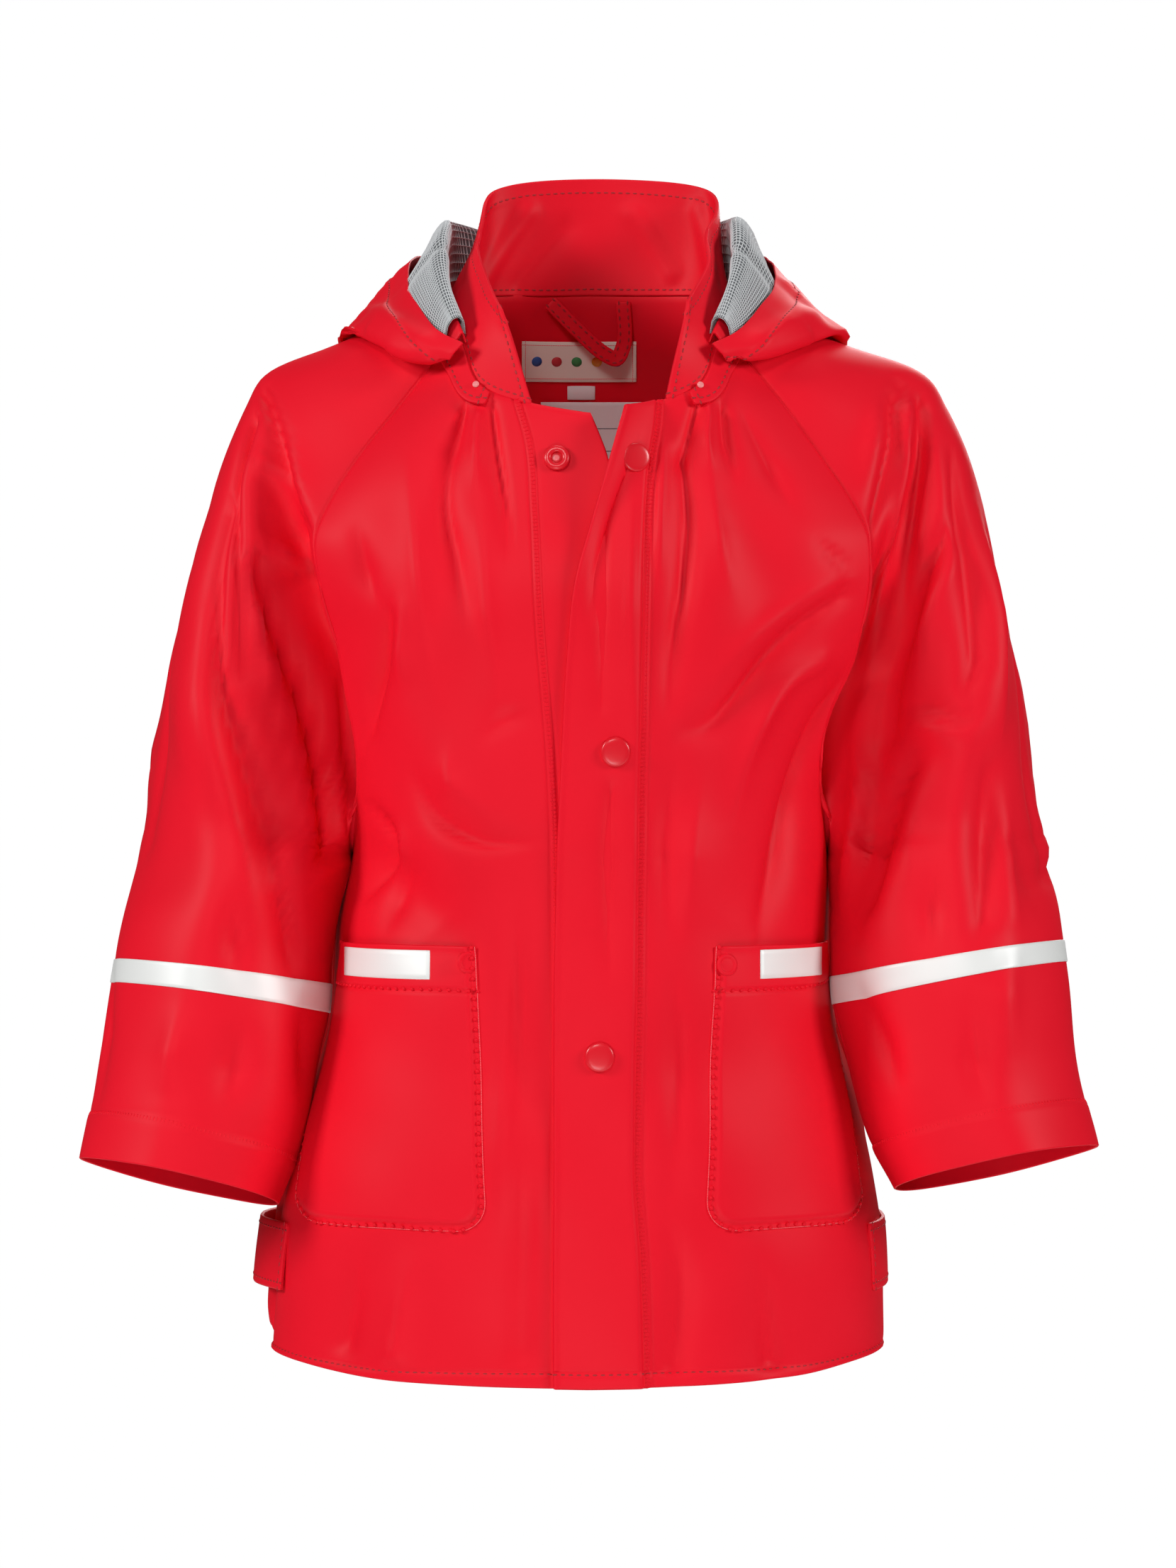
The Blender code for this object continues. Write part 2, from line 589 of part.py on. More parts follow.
def wall(collection, name, points, normals, faces, finish, lift=0.0, thickness=CLOTH):
    """A closed wall: the faces moved out by the lift, the same faces one thickness deeper, and a rim."""
    points, normals = points.reshape(-1, 3), normals.reshape(-1, 3)
    lift = np.broadcast_to(np.asarray(lift, float).reshape(-1, 1), (len(points), 1))
    used = np.unique(faces)
    renumber = np.full(len(points), -1)
    renumber[used] = np.arange(len(used))
    faces = renumber[faces]
    points, normals, lift = points[used], normals[used], lift[used]
    first = faces[0]
    turn = np.cross(points[first[1]] - points[first[0]], points[first[2]] - points[first[0]])
    if np.dot(turn, normals[first[0]]) < 0:
        faces = faces[:, ::-1]
    outer = points + normals * lift
    inner = points + normals * (lift - thickness)
    count = len(points)
    edges = {}
    for face in faces:
        for a, b in zip(face, np.roll(face, -1)):
            edges[(int(a), int(b))] = edges.get((int(a), int(b)), 0) + 1
    rim = [(b, a, a + count, b + count) for a, b in edges if (b, a) not in edges]
    solid = [tuple(face) for face in faces]
    solid += [tuple(count + corner for corner in reversed(face)) for face in solid]
    return add_object(collection, name, np.vstack([outer, inner]), solid + rim, finish)


def flat_piece(collection, name, grid, away, finish, lift, thickness=TRIM):
    """A wall over a patch of points, with its own normals."""
    normals = welded_normals([grid], [away])[0][0]
    faces = cells(*grid.shape[:2])
    return wall(collection, name, grid, normals, faces, finish, lift, thickness)


def garment_grids(levels, places, over_shares):
    """The body panels' and sleeves' points, folded, with the normals that their walls are built on."""
    around = np.array(SLEEVE_AROUND)
    body = {
        "front_left": front_grid(LEFT, levels, FRONT_COLUMNS),
        "front_right": front_grid(RIGHT, levels, FRONT_COLUMNS),
        "placket_under": band_grid(LEFT, levels, np.array(UNDERLAP_SHARES)),
        "placket_over": band_grid(RIGHT, levels, over_shares),
        "back": back_grid(levels, BACK_COLUMNS),
    }
    sleeves = {
        "sleeve_left": sleeve_grid(LEFT, places, around),
        "sleeve_right": sleeve_grid(RIGHT, places, around),
    }
    grids = {**body, **sleeves}
    away = {name: grid * (1, 1, 0) for name, grid in body.items()}
    away.update({name: grid - grid.mean(axis=1, keepdims=True) for name, grid in sleeves.items()})

    def shared():
        found = welded_normals(list(grids.values()), [away[name] for name in grids])
        return dict(zip(grids, found))

    for name, (normals, agreement) in shared().items():
        height = fold_height(grids[name], normals) * np.clip(agreement, 0, 1) ** 6
        grids[name] = grids[name] + normals * height[..., None]
    result = {}
    groups = [list(body), ["sleeve_left"], ["sleeve_right"]]
    together = shared()
    for group in groups:
        own = welded_normals([grids[name] for name in group], [away[name] for name in group])
        for name, (normals, _) in zip(group, own):
            joint, agreement = together[name]
            smooth_there = (agreement > SHARP)[..., None]
            result[name] = (grids[name], np.where(smooth_there, joint, normals))
    return result


def overlap_lift(shares):
    """How far the overlap lies above the front: flush at its seam, then clear of the underlap."""
    return np.where(shares > 0.01, CLOTH + CLEAR, 0.0)


def curl_forward(grid, shares):
    """The overlap's points with its free edge sprung forward near the neck."""
    forward = by_first(OVERLAP_CURL, grid[..., 2])[..., 0]
    moved = grid.copy()
    moved[..., 1] -= forward * shares ** 1.5
    return moved


def collar_grid():
    turns = np.linspace(-COLLAR_TOP[0][0], -COLLAR_TOP[-1][0], COLLAR_COLUMNS)
    top = smooth([-row[0] for row in COLLAR_TOP], [row[1:] for row in COLLAR_TOP], turns)
    neck = torso(-turns, neck_height(np.where(turns > 180, 360 - turns, turns)))
    share = np.linspace(COLLAR_START, 1, COLLAR_ROWS)[:, None, None]
    return neck * (1 - share) + top * share


def hood_grid(places, shares):
    """Hood points: a section from the neck seam to the face edge for each place round the neck."""
    sections = np.array(HOOD, float)
    mirrored = np.clip(np.where(places > 6, 12 - places, places), 0, 6)
    found = smooth(np.arange(len(sections)), sections, mirrored)
    side = np.where(places > 6, RIGHT, LEFT)
    shift = np.interp(mirrored, *zip(*HOOD_SHIFT))
    grid = []
    for section, sign, across in zip(found, side, shift):
        line = smooth(HOOD_SHARES, section, shares)
        grid.append(line * (sign, 1, 1) + (across, 0, 0))
    return np.array(grid)


def sample(grid, rows, columns):
    """Points of a grid at fractional rows and columns, on its faces."""
    rows, columns = np.asarray(rows, float), np.asarray(columns, float)
    low_row = np.clip(rows.astype(int), 0, grid.shape[0] - 2)
    low_column = np.clip(columns.astype(int), 0, grid.shape[1] - 2)
    down = (rows - low_row)[:, None, None]
    across = (columns - low_column)[None, :, None]
    corner = [[grid[np.ix_(low_row + i, low_column + j)] for j in (0, 1)] for i in (0, 1)]
    top = corner[0][0] * (1 - across) + corner[0][1] * across
    bottom = corner[1][0] * (1 - across) + corner[1][1] * across
    return top * (1 - down) + bottom * down


def find(grid, x, height):
    """The fractional row and column of the grid's point at a place across and a height."""
    rows = np.linspace(0, grid.shape[0] - 1, 12 * grid.shape[0])
    columns = np.linspace(0, grid.shape[1] - 1, 12 * grid.shape[1])
    near = np.linalg.norm(sample(grid, rows, columns)[..., [0, 2]] - (x, height), axis=-1)
    row, column_ = np.unravel_index(np.argmin(near), near.shape)
    return rows[row], columns[column_]


def lines(start, end):
    """The start, the whole numbers between, and the end."""
    low, high = sorted((start, end))
    between = [k for k in range(int(low) + 1, int(np.ceil(high))) if low + 0.15 < k < high - 0.15]
    return np.array([low, *between, high], float)


def patch(panel, left, right, top, bottom):
    """The part of a panel between two places across and two heights: its points and normals."""
    grid, normals = panel
    middle_x, middle_height = (left + right) / 2, (top + bottom) / 2
    rows = lines(find(grid, middle_x, bottom)[0], find(grid, middle_x, top)[0])
    columns = lines(find(grid, left, middle_height)[1], find(grid, right, middle_height)[1])
    return sample(grid, rows, columns), sample(normals, rows, columns)


def round_lower_corners(grid):
    """A pocket's points with its two lower corners rounded off."""
    grid = grid.copy()
    for edge, inner in ((0, 1), (-1, -2)):
        step = grid[1, inner] - grid[1, edge]
        across = step / np.linalg.norm(step)
        step = grid[1, edge] - grid[0, edge]
        up = step / np.linalg.norm(step)
        grid[1, edge] += across * 0.29 * POCKET_CORNER
        grid[0, edge] += across * 0.62 * POCKET_CORNER + up * 0.07 * POCKET_CORNER
    return grid


def patch_piece(collection, name, panel, finish, lift, thickness=TRIM):
    """A wall over part of a panel, moved out from its points."""
    grid, normals = panel
    return wall(collection, name, grid, normals, cells(*grid.shape[:2]), finish, lift, thickness)


def disc(collection, name, panel, x, height, lift, profile, finish):
    """A round snap part turned round a panel's normal; its profile is (radius, height) pairs."""
    grid, normals = panel
    row, column_ = find(grid, x, height)
    point = sample(grid, [row], [column_])[0, 0]
    normal = sample(normals, [row], [column_])[0, 0]
    normal = normal / np.linalg.norm(normal)
    across = np.cross(normal, (0, 0, 1.0))
    across /= np.linalg.norm(across)
    up = np.cross(across, normal)
    turn = np.linspace(0, 2 * np.pi, SNAP_SIDES, endpoint=False)
    circle = np.outer(np.cos(turn), across) + np.outer(np.sin(turn), up)
    rings = [point + normal * (lift + high) + out * circle for out, high in profile]
    points = np.concatenate(rings)
    count = len(profile)
    faces = []
    closed = profile[0] == profile[-1]
    last = count - 1
    for ring in range(last):
        for k in range(SNAP_SIDES):
            after = (k + 1) % SNAP_SIDES
            here, there = ring * SNAP_SIDES, (0 if closed and ring == last - 1 else ring + 1) * SNAP_SIDES
            faces.append((here + k, there + k, there + after, here + after))
    if closed:
        points = points[:last * SNAP_SIDES]
    else:
        faces.append(tuple(range(SNAP_SIDES)))
        faces.append(tuple(last * SNAP_SIDES + k for k in reversed(range(SNAP_SIDES))))
    made = add_object(collection, name, points, faces, finish)
    made.data.set_sharp_from_angle(angle=np.radians(40))
    return made


def strap_grid(side, stand_off):
    """A strap round the side over the vent, bowed out in its middle."""
    angles = np.linspace(*STRAP_ANGLES, 11)
    heights = np.linspace(*STRAP_HEIGHTS, 4)
    angle, height = np.meshgrid(angles, heights)
    points = torso(side * angle, height)
    out = points * (1, 1, 0)
    out /= np.linalg.norm(out, axis=-1, keepdims=True)
    bow = np.sin(np.pi * (angle - angles[0]) / (angles[-1] - angles[0])) ** 2
    return points + out * (stand_off * bow)[..., None]


def loop_grid():
    """The hanger loop's tape: a row of two edge points for each point of its middle line."""
    share = np.linspace(0, 1, 15)
    line = smooth(column(LOOP_LINE, 0), [row[1:] for row in LOOP_LINE], share)
    step = np.gradient(line, axis=0)
    across = np.cross(step, (0, 1.0, 0))
    across /= np.linalg.norm(across, axis=-1, keepdims=True)
    half = across * LOOP_WIDTH / 2
    return np.stack([line - half, line + half], axis=1)


def tab_grid(side):
    """A hood tab, lying on the front below the collar's front end."""
    turns = np.linspace(*TAB_ANGLES, 6)
    grid = []
    for turn in turns:
        share = (turn - TAB_ANGLES[0]) / (TAB_ANGLES[1] - TAB_ANGLES[0])
        bottom = TAB_DROP[1] - (TAB_DROP[1] - TAB_DROP[0]) * 0.55 * share ** 3
        drops = np.linspace(TAB_DROP[0], bottom, 4)
        grid.append(torso(side * turn, neck_height(turn) - drops))
    return np.array(grid)


def main():
    for old in list(bpy.data.objects):
        bpy.data.objects.remove(old, do_unlink=True)
    collection = bpy.data.collections.new(NAME)
    bpy.context.scene.collection.children.link(collection)
    red = material("coated_cloth_red", RED, 0.38)
    mesh_grey = material("mesh_grey", GREY_MESH, 0.7)
    silver = material("reflective_silver", SILVER, 0.45)
    white = material("label_white", WHITE, 0.8)
    snap_red = material("snap_red", SNAP_RED, 0.35)

    above = np.array(RAGLAN_PLACES)
    levels = np.concatenate([level_at(np.array(BODY_HEIGHTS)), 2 - above])
    places = np.concatenate([above[::-1], LOWER_PLACES])
    over_shares = np.array(OVERLAP_SHARES)
    garment = garment_grids(levels, places, over_shares)

    for name in ("front_left", "front_right", "back"):
        grid, normals = garment[name]
        edges = ["first column", "last column", "last row"]
        wall(collection, name, shrink(grid, edges), normals, cells(*grid.shape[:2]), red)
    grid, normals = garment["placket_under"]
    wall(collection, "placket_under", shrink(grid, ["first column", "last row"]), normals,
         cells(*grid.shape[:2]), red)
    grid, normals = garment["placket_over"]
    lift = np.broadcast_to(overlap_lift(over_shares), grid.shape[:2])
    over = curl_forward(shrink(grid, ["first column", "last row"]), over_shares)
    over_normals = welded_normals([over], [over * (1, 1, 0)])[0][0]
    wall(collection, "placket_over", over, normals, cells(*grid.shape[:2]), red, lift)

    for name in ("sleeve_left", "sleeve_right"):
        grid, normals = garment[name]
        rows, columns = grid.shape[:2]
        open_rows = int(np.sum(places < 1))
        drawn = shrink(grid, ["first row"])
        gap = np.interp(places[:open_rows], *zip(*SLEEVE_GAP))[:, None]
        drawn[:open_rows] = shrink(drawn[:open_rows], ["first column", "last column"], gap)
        for end in (0, -1):
            down = grid[open_rows + 1, end] - grid[open_rows, end]
            drawn[open_rows, end] += 2 * HALF_GAP * down / np.linalg.norm(down)
        faces = cells(rows, columns)
        index = np.arange(rows * columns).reshape(rows, columns)
        swap = np.arange(rows * columns)
        swap[index[open_rows:, -1]] = index[open_rows:, 0]
        wall(collection, name, drawn, normals, swap[faces], red)
        strip_rows = [int(np.argmin(abs(places - STRIP_TOP))), int(np.argmin(abs(places - STRIP_BOTTOM)))]
        strip, strip_normals = grid[strip_rows], normals[strip_rows]
        swap = np.arange(2 * columns)
        swap[[columns - 1, 2 * columns - 1]] = [0, columns]
        wall(collection, "strip_" + name, strip, strip_normals, swap[cells(2, columns)], silver,
             CLEAR + TRIM, TRIM)

    collar = collar_grid()
    flat_piece(collection, "collar", collar, collar * (1, 1, 0), red, 0, CLOTH)

    up = np.array([0, 0, 1.0])
    shell = hood_grid(np.array(HOOD_PLACES), np.array(SHELL_SHARES))
    shell_normals = welded_normals([shell], [up])[0][0]
    patch_piece(collection, "hood_shell", (shell, shell_normals), red, 0, CLOTH)
    patch_piece(collection, "hood_lining", (shell[LINED], shell_normals[LINED]), mesh_grey, CLEAR + TRIM)

    for side, word in ((LEFT, "left"), (RIGHT, "right")):
        grid, normals = garment["front_" + word]
        columns = slice(FRONT_COLUMNS[0], FRONT_COLUMNS[0] + FRONT_COLUMNS[1] + 1)
        pocket = round_lower_corners(grid[POCKET_ROWS, columns]), normals[POCKET_ROWS, columns]
        patch_piece(collection, "pocket_" + word, pocket, red, CLEAR + CLOTH, CLOTH)
        ends = POCKET_STRIP[side]
        strip = patch(pocket, *ends, POCKET_STRIP_TOP, POCKET_STRIP_BOTTOM)
        patch_piece(collection, "strip_pocket_" + word, strip, silver, CLEAR + CLOTH + CLEAR + TRIM)

        strap = strap_grid(side, STRAP_BOW[side])
        flat_piece(collection, "strap_" + word, strap, strap * (1, 1, 0), red, CLEAR + CLOTH, CLOTH)
        tab = tab_grid(side)
        flat_piece(collection, "hood_tab_" + word, tab, tab * (1, 1, 0), red, CLEAR + CLOTH, CLOTH)
        disc(collection, "snap_tab_" + word, (tab, welded_normals([tab], [tab * (1, 1, 0)])[0][0]),
             side * TAB_SNAP[0], TAB_SNAP[1], CLEAR + CLOTH + GAP, SMALL_SNAP, snap_red)

    for number, (x, height, stand) in enumerate(CAPS, 1):
        disc(collection, f"snap_cap_{number}", (over, over_normals), x, height,
             CLOTH + CLEAR + stand, CAP, snap_red)
    disc(collection, "snap_socket", garment["placket_under"], *SOCKET, GAP, SOCKET_RING, snap_red)

    inside = -CLOTH - CLEAR
    for name, x0, x1, top, bottom in LABELS:
        label = patch(garment["back"], x0, x1, top, bottom)
        patch_piece(collection, name, label, white, inside)
    loop = loop_grid()
    flat_piece(collection, "hanger_loop", loop, np.array([0, -1.0, 0]), red, 0)


main()
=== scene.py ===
"""Looks of a child's rain jacket of coated cloth, filled out as if worn.

Every cut piece is a thin shell on the form of its solid, with the creases, seams and sewing added.
Frame: +X to the viewer's right (the wearer's left), -Y towards the viewer, +Z up. The origin is the
middle of the neck, level with the shoulders. Sizes in the tables are millimetres and degrees.
"""

import bpy
import numpy as np
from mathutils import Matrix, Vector


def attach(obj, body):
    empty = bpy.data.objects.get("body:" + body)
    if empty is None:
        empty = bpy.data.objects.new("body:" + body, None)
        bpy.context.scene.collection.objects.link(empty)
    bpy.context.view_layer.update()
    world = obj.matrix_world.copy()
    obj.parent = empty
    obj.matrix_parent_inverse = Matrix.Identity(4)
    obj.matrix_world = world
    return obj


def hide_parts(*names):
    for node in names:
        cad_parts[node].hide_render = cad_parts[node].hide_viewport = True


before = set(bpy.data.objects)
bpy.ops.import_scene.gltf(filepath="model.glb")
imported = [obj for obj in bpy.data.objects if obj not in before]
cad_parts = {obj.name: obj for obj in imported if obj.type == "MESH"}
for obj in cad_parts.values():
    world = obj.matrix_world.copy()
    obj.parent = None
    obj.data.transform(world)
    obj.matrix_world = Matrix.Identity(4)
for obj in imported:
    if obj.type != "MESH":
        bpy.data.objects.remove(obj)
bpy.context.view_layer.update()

MM = 0.001
LEFT, RIGHT = -1, 1
SIDES = ((LEFT, "left"), (RIGHT, "right"))
FRONTS, SLEEVES = ("front_left", "front_right"), ("sleeve_left", "sleeve_right")
BODY = (*FRONTS, "back", "placket_under", "placket_over")

# The cloth's own thickness: coated knit, doubled at collar, overlap, straps and tabs.
SHELL, DOUBLED = 0.8, 1.6
LOOP_THICKNESS, TAPE_THICKNESS, INK_THICKNESS = 1.0, 0.5, 0.1
# A shell's rim: (depth, bulge) of its rings in thicknesses. A doubled edge has two rounded layers.
PLAIN_RIM = ((0.5, 0.5),)
TWIN_RIM = ((0.2, 0.38), (0.5, 0.05), (0.8, 0.38))

# Heights that the panels are cut to.
HEM_FRONT, HEM_BACK, HEM_SIDE = -450.0, -447.0, -443.0
UNDERARM, NECK_FRONT, NECK_BACK = -235.0, -52.0, 11.0
POCKET_TOP, POCKET_BOTTOM = -272.0, -387.0

# Rows of a front and of the back panel: height at the side, height at the middle.
FRONT_ROWS = [(HEM_SIDE, HEM_FRONT), (POCKET_BOTTOM, POCKET_BOTTOM), (POCKET_TOP, POCKET_TOP),
              (UNDERARM, UNDERARM - 4), (-12, NECK_FRONT)]
BACK_ROWS = [(HEM_SIDE, HEM_BACK), (UNDERARM, UNDERARM - 3), (9, NECK_BACK)]

# Cross-sections of the torso, a superellipse at each height. Above the underarm they reach out
# under the sleeves, so that the chest runs on smoothly into the front of each shoulder.
SECTION_POWER = 2.3
TORSO = [
    # height, left half-width, right half-width, front depth, back depth
    (-455, 139, 127, 104, 96),
    (-400, 135, 126, 103, 95),
    (-370, 130, 122, 102, 94),
    (-340, 120, 114, 100, 92),
    (-300, 110, 103, 98, 90),
    (-270, 106, 101, 97, 89),
    (-235, 101, 102, 97, 88),
    (-210, 102, 104, 96, 88),
    (-175, 110, 112, 96, 87),
    (-150, 118, 126, 95, 87),
    (-120, 136, 143, 92, 86),
    (-104, 140, 145, 89, 85),
    (-89, 134, 138, 85, 83),
    (-68, 119, 122, 78, 78),
    (-48, 101, 104, 71, 71),
    (-26, 81, 83, 63, 61),
    (-12, 69, 71, 60, 54),
    (0, 61, 63, 57, 50),
    (12, 57, 59, 56, 46),
]

# The neckline on the torso: angle from the centre front, height.
NECKLINE = [(0, -52), (12, -47), (26, -38), (38, -22), (50, -12), (75, 0), (95, 5), (130, 9), (180, 11)]
# The angles at which the raglan seams meet it, and those of a sleeve's seven stations along it.
FRONT_SEAM_ANGLE, BACK_SEAM_ANGLE = 50, 130
NECK_STATIONS = np.array([50, 60, 72, 90, 108, 120, 130.0])

# The raglan seams, from the neck (0) to the underarm (1), as heights and angles on the torso.
RAGLAN = [
    # place, front height, front angle, back height, back angle
    (0.00, -12, 50, 9, 130),
    (0.07, -26, 50, -10, 130),
    (0.17, -48, 50.5, -33, 129.5),
    (0.27, -68, 51, -56, 128.5),
    (0.36, -89, 51.5, -78, 127.5),
    (0.42, -104, 52, -95, 126.5),
    (0.48, -120, 53.5, -113, 125),
    (0.61, -152, 61, -148, 118),
    (0.70, -175, 64, -173, 114.5),
    (0.79, -197, 68.5, -196, 110.5),
    (0.87, -215, 75, -214, 104),
    (0.94, -228, 83, -228, 97),
    (1.00, -235, 90, -235, 90),
]

# How far the rounded corner at a vent is cut back, by height, in degrees round the torso.
VENT_CORNER = [(-443, 12), (-440, 7), (-434, 3.5), (-422, 1), (-400, 0)]

# Upper sleeve, from the neck (0) to the underarm (1), as distance out, depth and height: points on
# the shoulder line, on the front and on the back of the sleeve.
UPPER_SLEEVE = [
    # place, shoulder, front, back
    (0.07, (84, 0, -6), (78, -27, -14), (78, 22, -7)),
    (0.17, (112, 0, -18), (103, -30, -27), (104, 26, -24)),
    (0.27, (138, 0, -29), (130, -24, -38), (130, 22, -37)),
    (0.36, (147, 0, -43), (142, -28, -53), (141, 30, -53)),
    (0.42, (154, 0, -60), (146, -37, -72), (146, 38, -72)),
    (0.48, (162, -1, -81), (147, -44, -92), (148, 44, -92)),
    (0.61, (175, -3, -128), (148, -51, -136), (149, 48, -136)),
    (0.79, (184, -5, -182), (149, -54, -188), (149, 48, -188)),
    (0.87, (187, -5, -203), (149, -54, -205), (149, 48, -205)),
    (0.93, (189, -6, -217), (149, -54, -219), (148, 46, -219)),
]
# How much further out the right shoulder lies, by place, and the shares of it for the three points.
RIGHT_SPARE = [(0.07, 0), (0.17, 4), (0.27, 6), (0.42, 7.5), (0.61, 5), (0.93, 4.5)]
SPARE_SHARES = (1, 0.5, 0.5)
# The last place at which the sleeve is open; it is closed at the underarm.
OPEN_TO = 0.93
# The creases where the sleeve meets the chest and the back, as steps from the raglan seams.
SLEEVE_CREASE = [
    # place, from the front seam: out, back, up; from the back seam: out, back, up
    (0.07, (8, 5, 6), (14, -4, 2)),
    (0.17, (12, 6, 11), (20, -5, 3)),
    (0.27, (19, 12, 17), (24, -8, 8)),
    (0.36, (23, 19, 25), (23, -7, 12)),
    (0.42, (15, 20, 22), (19, -5, 11)),
    (0.48, (7, 18, 12), (15, -5, 9)),
    (0.61, (3, 22, 4), (11, -8, 3)),
    (0.79, (3, 18, 2), (9, -4, 0)),
    (0.87, (7, -1, 1), (9, 5, 0)),
    (0.93, (8, -15, 0), (9, 12, 0)),
]

# Lower sleeve rings, from the underarm (1) to the cuff (2): the outer and inner end of each ring,
# its middle's depth, its half-depth, and how far its front is raised over its back.
LOWER_SLEEVE = {
    LEFT: [
        # place, outer out, height, inner out, height, depth, half-depth, rise
        (1.00, 192, -232, 101, -235, -6, 52, 0),
        (1.15, 197, -262, 109, -268, -18, 49, 3),
        (1.35, 203, -294, 112, -308, -28, 45, 5),
        (1.70, 209, -338, 121, -354, -38, 42, 7),
        (2.00, 213, -362, 131, -380, -45, 40, 8),
    ],
    RIGHT: [
        (1.00, 198, -228, 102, -235, -6, 52, 0),
        (1.15, 201, -255, 106, -266, -18, 49, 3),
        (1.35, 203, -285, 108, -304, -28, 45, 5),
        (1.70, 208, -330, 117, -350, -38, 42, 7),
        (2.00, 213, -357, 129, -374, -45, 40, 8),
    ],
}
# The seven stations round a ring: their shares of the way round, and their angles on a lower ring.
STATION_PLACES = [0.0, 0.15, 0.28, 0.5, 0.72, 0.85, 1.0]
STATION_ANGLES = [0, 48, 96, 180, 264, 312, 360]
# The reflective strip on the sleeve: its two places, and its rows.
STRIP_PLACES, STRIP_ROWS = (1.256, 1.316), 9

# Placket lines by height: how far each lies to the right of the centre.
LEFT_SEAM = [(-451, -12.6), (-360, -12.6), (-232, -13.5), (-195, -15.2), (-141, -19.5), (-93, -22),
             (-63, -24.5), (-44, -30)]
RIGHT_SEAM = [(-451, 24.5), (-397, 22.8), (-360, 20.5), (-232, 22.3), (-153, 23.4), (-105, 24.6),
              (-69, 27), (-57, 29), (-44, 30)]
UNDERLAP_EDGE = [(-451, 15), (-360, 13.5), (-150, 15), (-100, 13), (-72, 8.3), (-46, -1.6)]
OVERLAP_EDGE = [(-451, -13.5), (-360, -13.3), (-232, -12), (-200, -10.6), (-153, -8), (-123, -5),
                (-100, 0.7), (-74, 8), (-46, 15.5)]
# How far the overlap lies above the underlap, past how much of its width it gets there, the height and
# width of its rolled edge, and how far that edge springs forward, by height.
OVERLAP_LIFT, OVERLAP_CLIMB, OVERLAP_LIP = 1.8, 2.4, (0.4, 1.6)
OVERLAP_CURL = [(-451, 0), (-140, 0), (-105, 3), (-75, 8), (-46, 13)]

# Collar's top edge: angle of the point on the neckline below it, then its own place.
COLLAR_TOP = [
    # angle, x, y, height
    (-11, -36, -60, -8),
    (-26, -41, -48, 2),
    (-45, -45, -31, 13),
    (-70, -48, -9, 26),
    (-95, -47, 13, 38),
    (-130, -42, 33, 54),
    (-180, 3, 45, 61),
    (-230, 52, 34, 55),
    (-265, 55, 13, 42),
    (-290, 51, -9, 30),
    (-315, 52, -30, 15),
    (-332, 47, -45, 4),
    (-344, 42, -57, -4),
]

# Hood, thrown back: six sections from the front end round to the centre back. Each runs from the
# neck seam over the crest beside the collar, down to the pouch's fold and up to the face edge.
HOOD = [
    # seam, crest, fall, floor, fold, side, rim: distance out, depth, height of each
    [(51, -53, -20.5), (52.5, -55, -17), (54, -55, -18.5), (56, -55, -22), (58, -58, -28.5),
     (56.5, -60.5, -26), (52.5, -61, -21.5)],
    [(57, -43, -9), (59, -42, 2), (63, -40, -2), (69, -41, -16), (75, -48, -25), (72, -53, -21),
     (63.5, -52, -15)],
    [(62, -21, 2), (62.5, -18, 18), (67, -17, 11), (79, -21, -7), (92, -30, -18), (86, -35, -11),
     (72.5, -33, -3)],
    [(63, 5, 8), (62.5, 10, 34), (69, 9, 22), (83, 4, 1), (108, 1, -12), (93.5, -7, -3), (79, -7, 10)],
    [(55, 38, 13), (60, 43, 39), (68, 48, 22), (84, 54, -12), (104, 52, -33), (98, 59, -4), (75, 48, 28)],
    [(30, 54, 13), (33, 68, 35), (40, 79, 8), (54, 92, -45), (60, 104, -96), (62, 114, -46), (47, 105, 14)],
    [(0, 56, 14), (0, 70, 35), (0, 81, 8), (0, 96, -68), (0, 110, -136), (0, 126, -66), (0, 118, 8)],
]
# How far the hood's middle sits to the right of the neck's, by place round the neck.
HOOD_SHIFT = [(0, 0), (1, 0), (2, 0.7), (3, 1.5), (6, 2)]
# Where the seven points lie along a section.
HOOD_SHARES = [0, 0.12, 0.24, 0.42, 0.6, 0.8, 1]

# The largest folds of the cloth, by the line that each follows in the front or back view.
FOLDS = [
    # face, x and height at one end, x and height at the other, half-width, depth (a ridge is above 0)
    (-1, -100, -222, -62, -262, 13, -6),
    (-1, -62, -262, -22, -330, 16, -3),
    (-1, -78, -120, -66, -205, 13, 3),
    (-1, 96, -205, 60, -262, 16, -4),
    (-1, 62, -90, 88, -160, 15, -3),
    (-1, -176, -120, -150, -262, 12, 4),
    (-1, 172, -110, 150, -240, 12, 4),
    (1, -70, -150, -34, -330, 20, -5),
    (1, 74, -140, 30, -300, 22, -5),
    (1, 4, -190, 10, -430, 24, 4),
    (1, 150, -120, 172, -262, 14, -4),
    (1, -150, -130, -170, -260, 14, -4),
]
# How much of its depth a fold has at its ends.
FOLD_ENDS = 0.35

# Pockets on the fronts: place across of the edge nearest the placket and of the far edge, each at
# the top and at the bottom.
POCKET_INNER = {LEFT: (-46.5, -41), RIGHT: (52, 48)}
POCKET_OUTER = {LEFT: (-103, -124), RIGHT: (99, 117)}
POCKET_CORNER = 12.0
POCKET_STRIP = {LEFT: (-102, -65), RIGHT: (71, 98)}
POCKET_STRIP_TOP, POCKET_STRIP_BOTTOM = -273.5, -285.0

# Snaps down the overlap, and the socket on the underlap: place across and height.
CAPS = [(19.5, -71), (11.2, -192), (4.7, -316)]
SOCKET = (-12.8, -71)

# Straps over the side vents: from the front round to the back, from the top to the bottom, and how
# far each bows out from the side.
STRAP_ANGLES = (68.0, 112.0)
STRAP_HEIGHTS = (-390.0, -417.0)
STRAP_BOW = {LEFT: 5.5, RIGHT: 0.5}

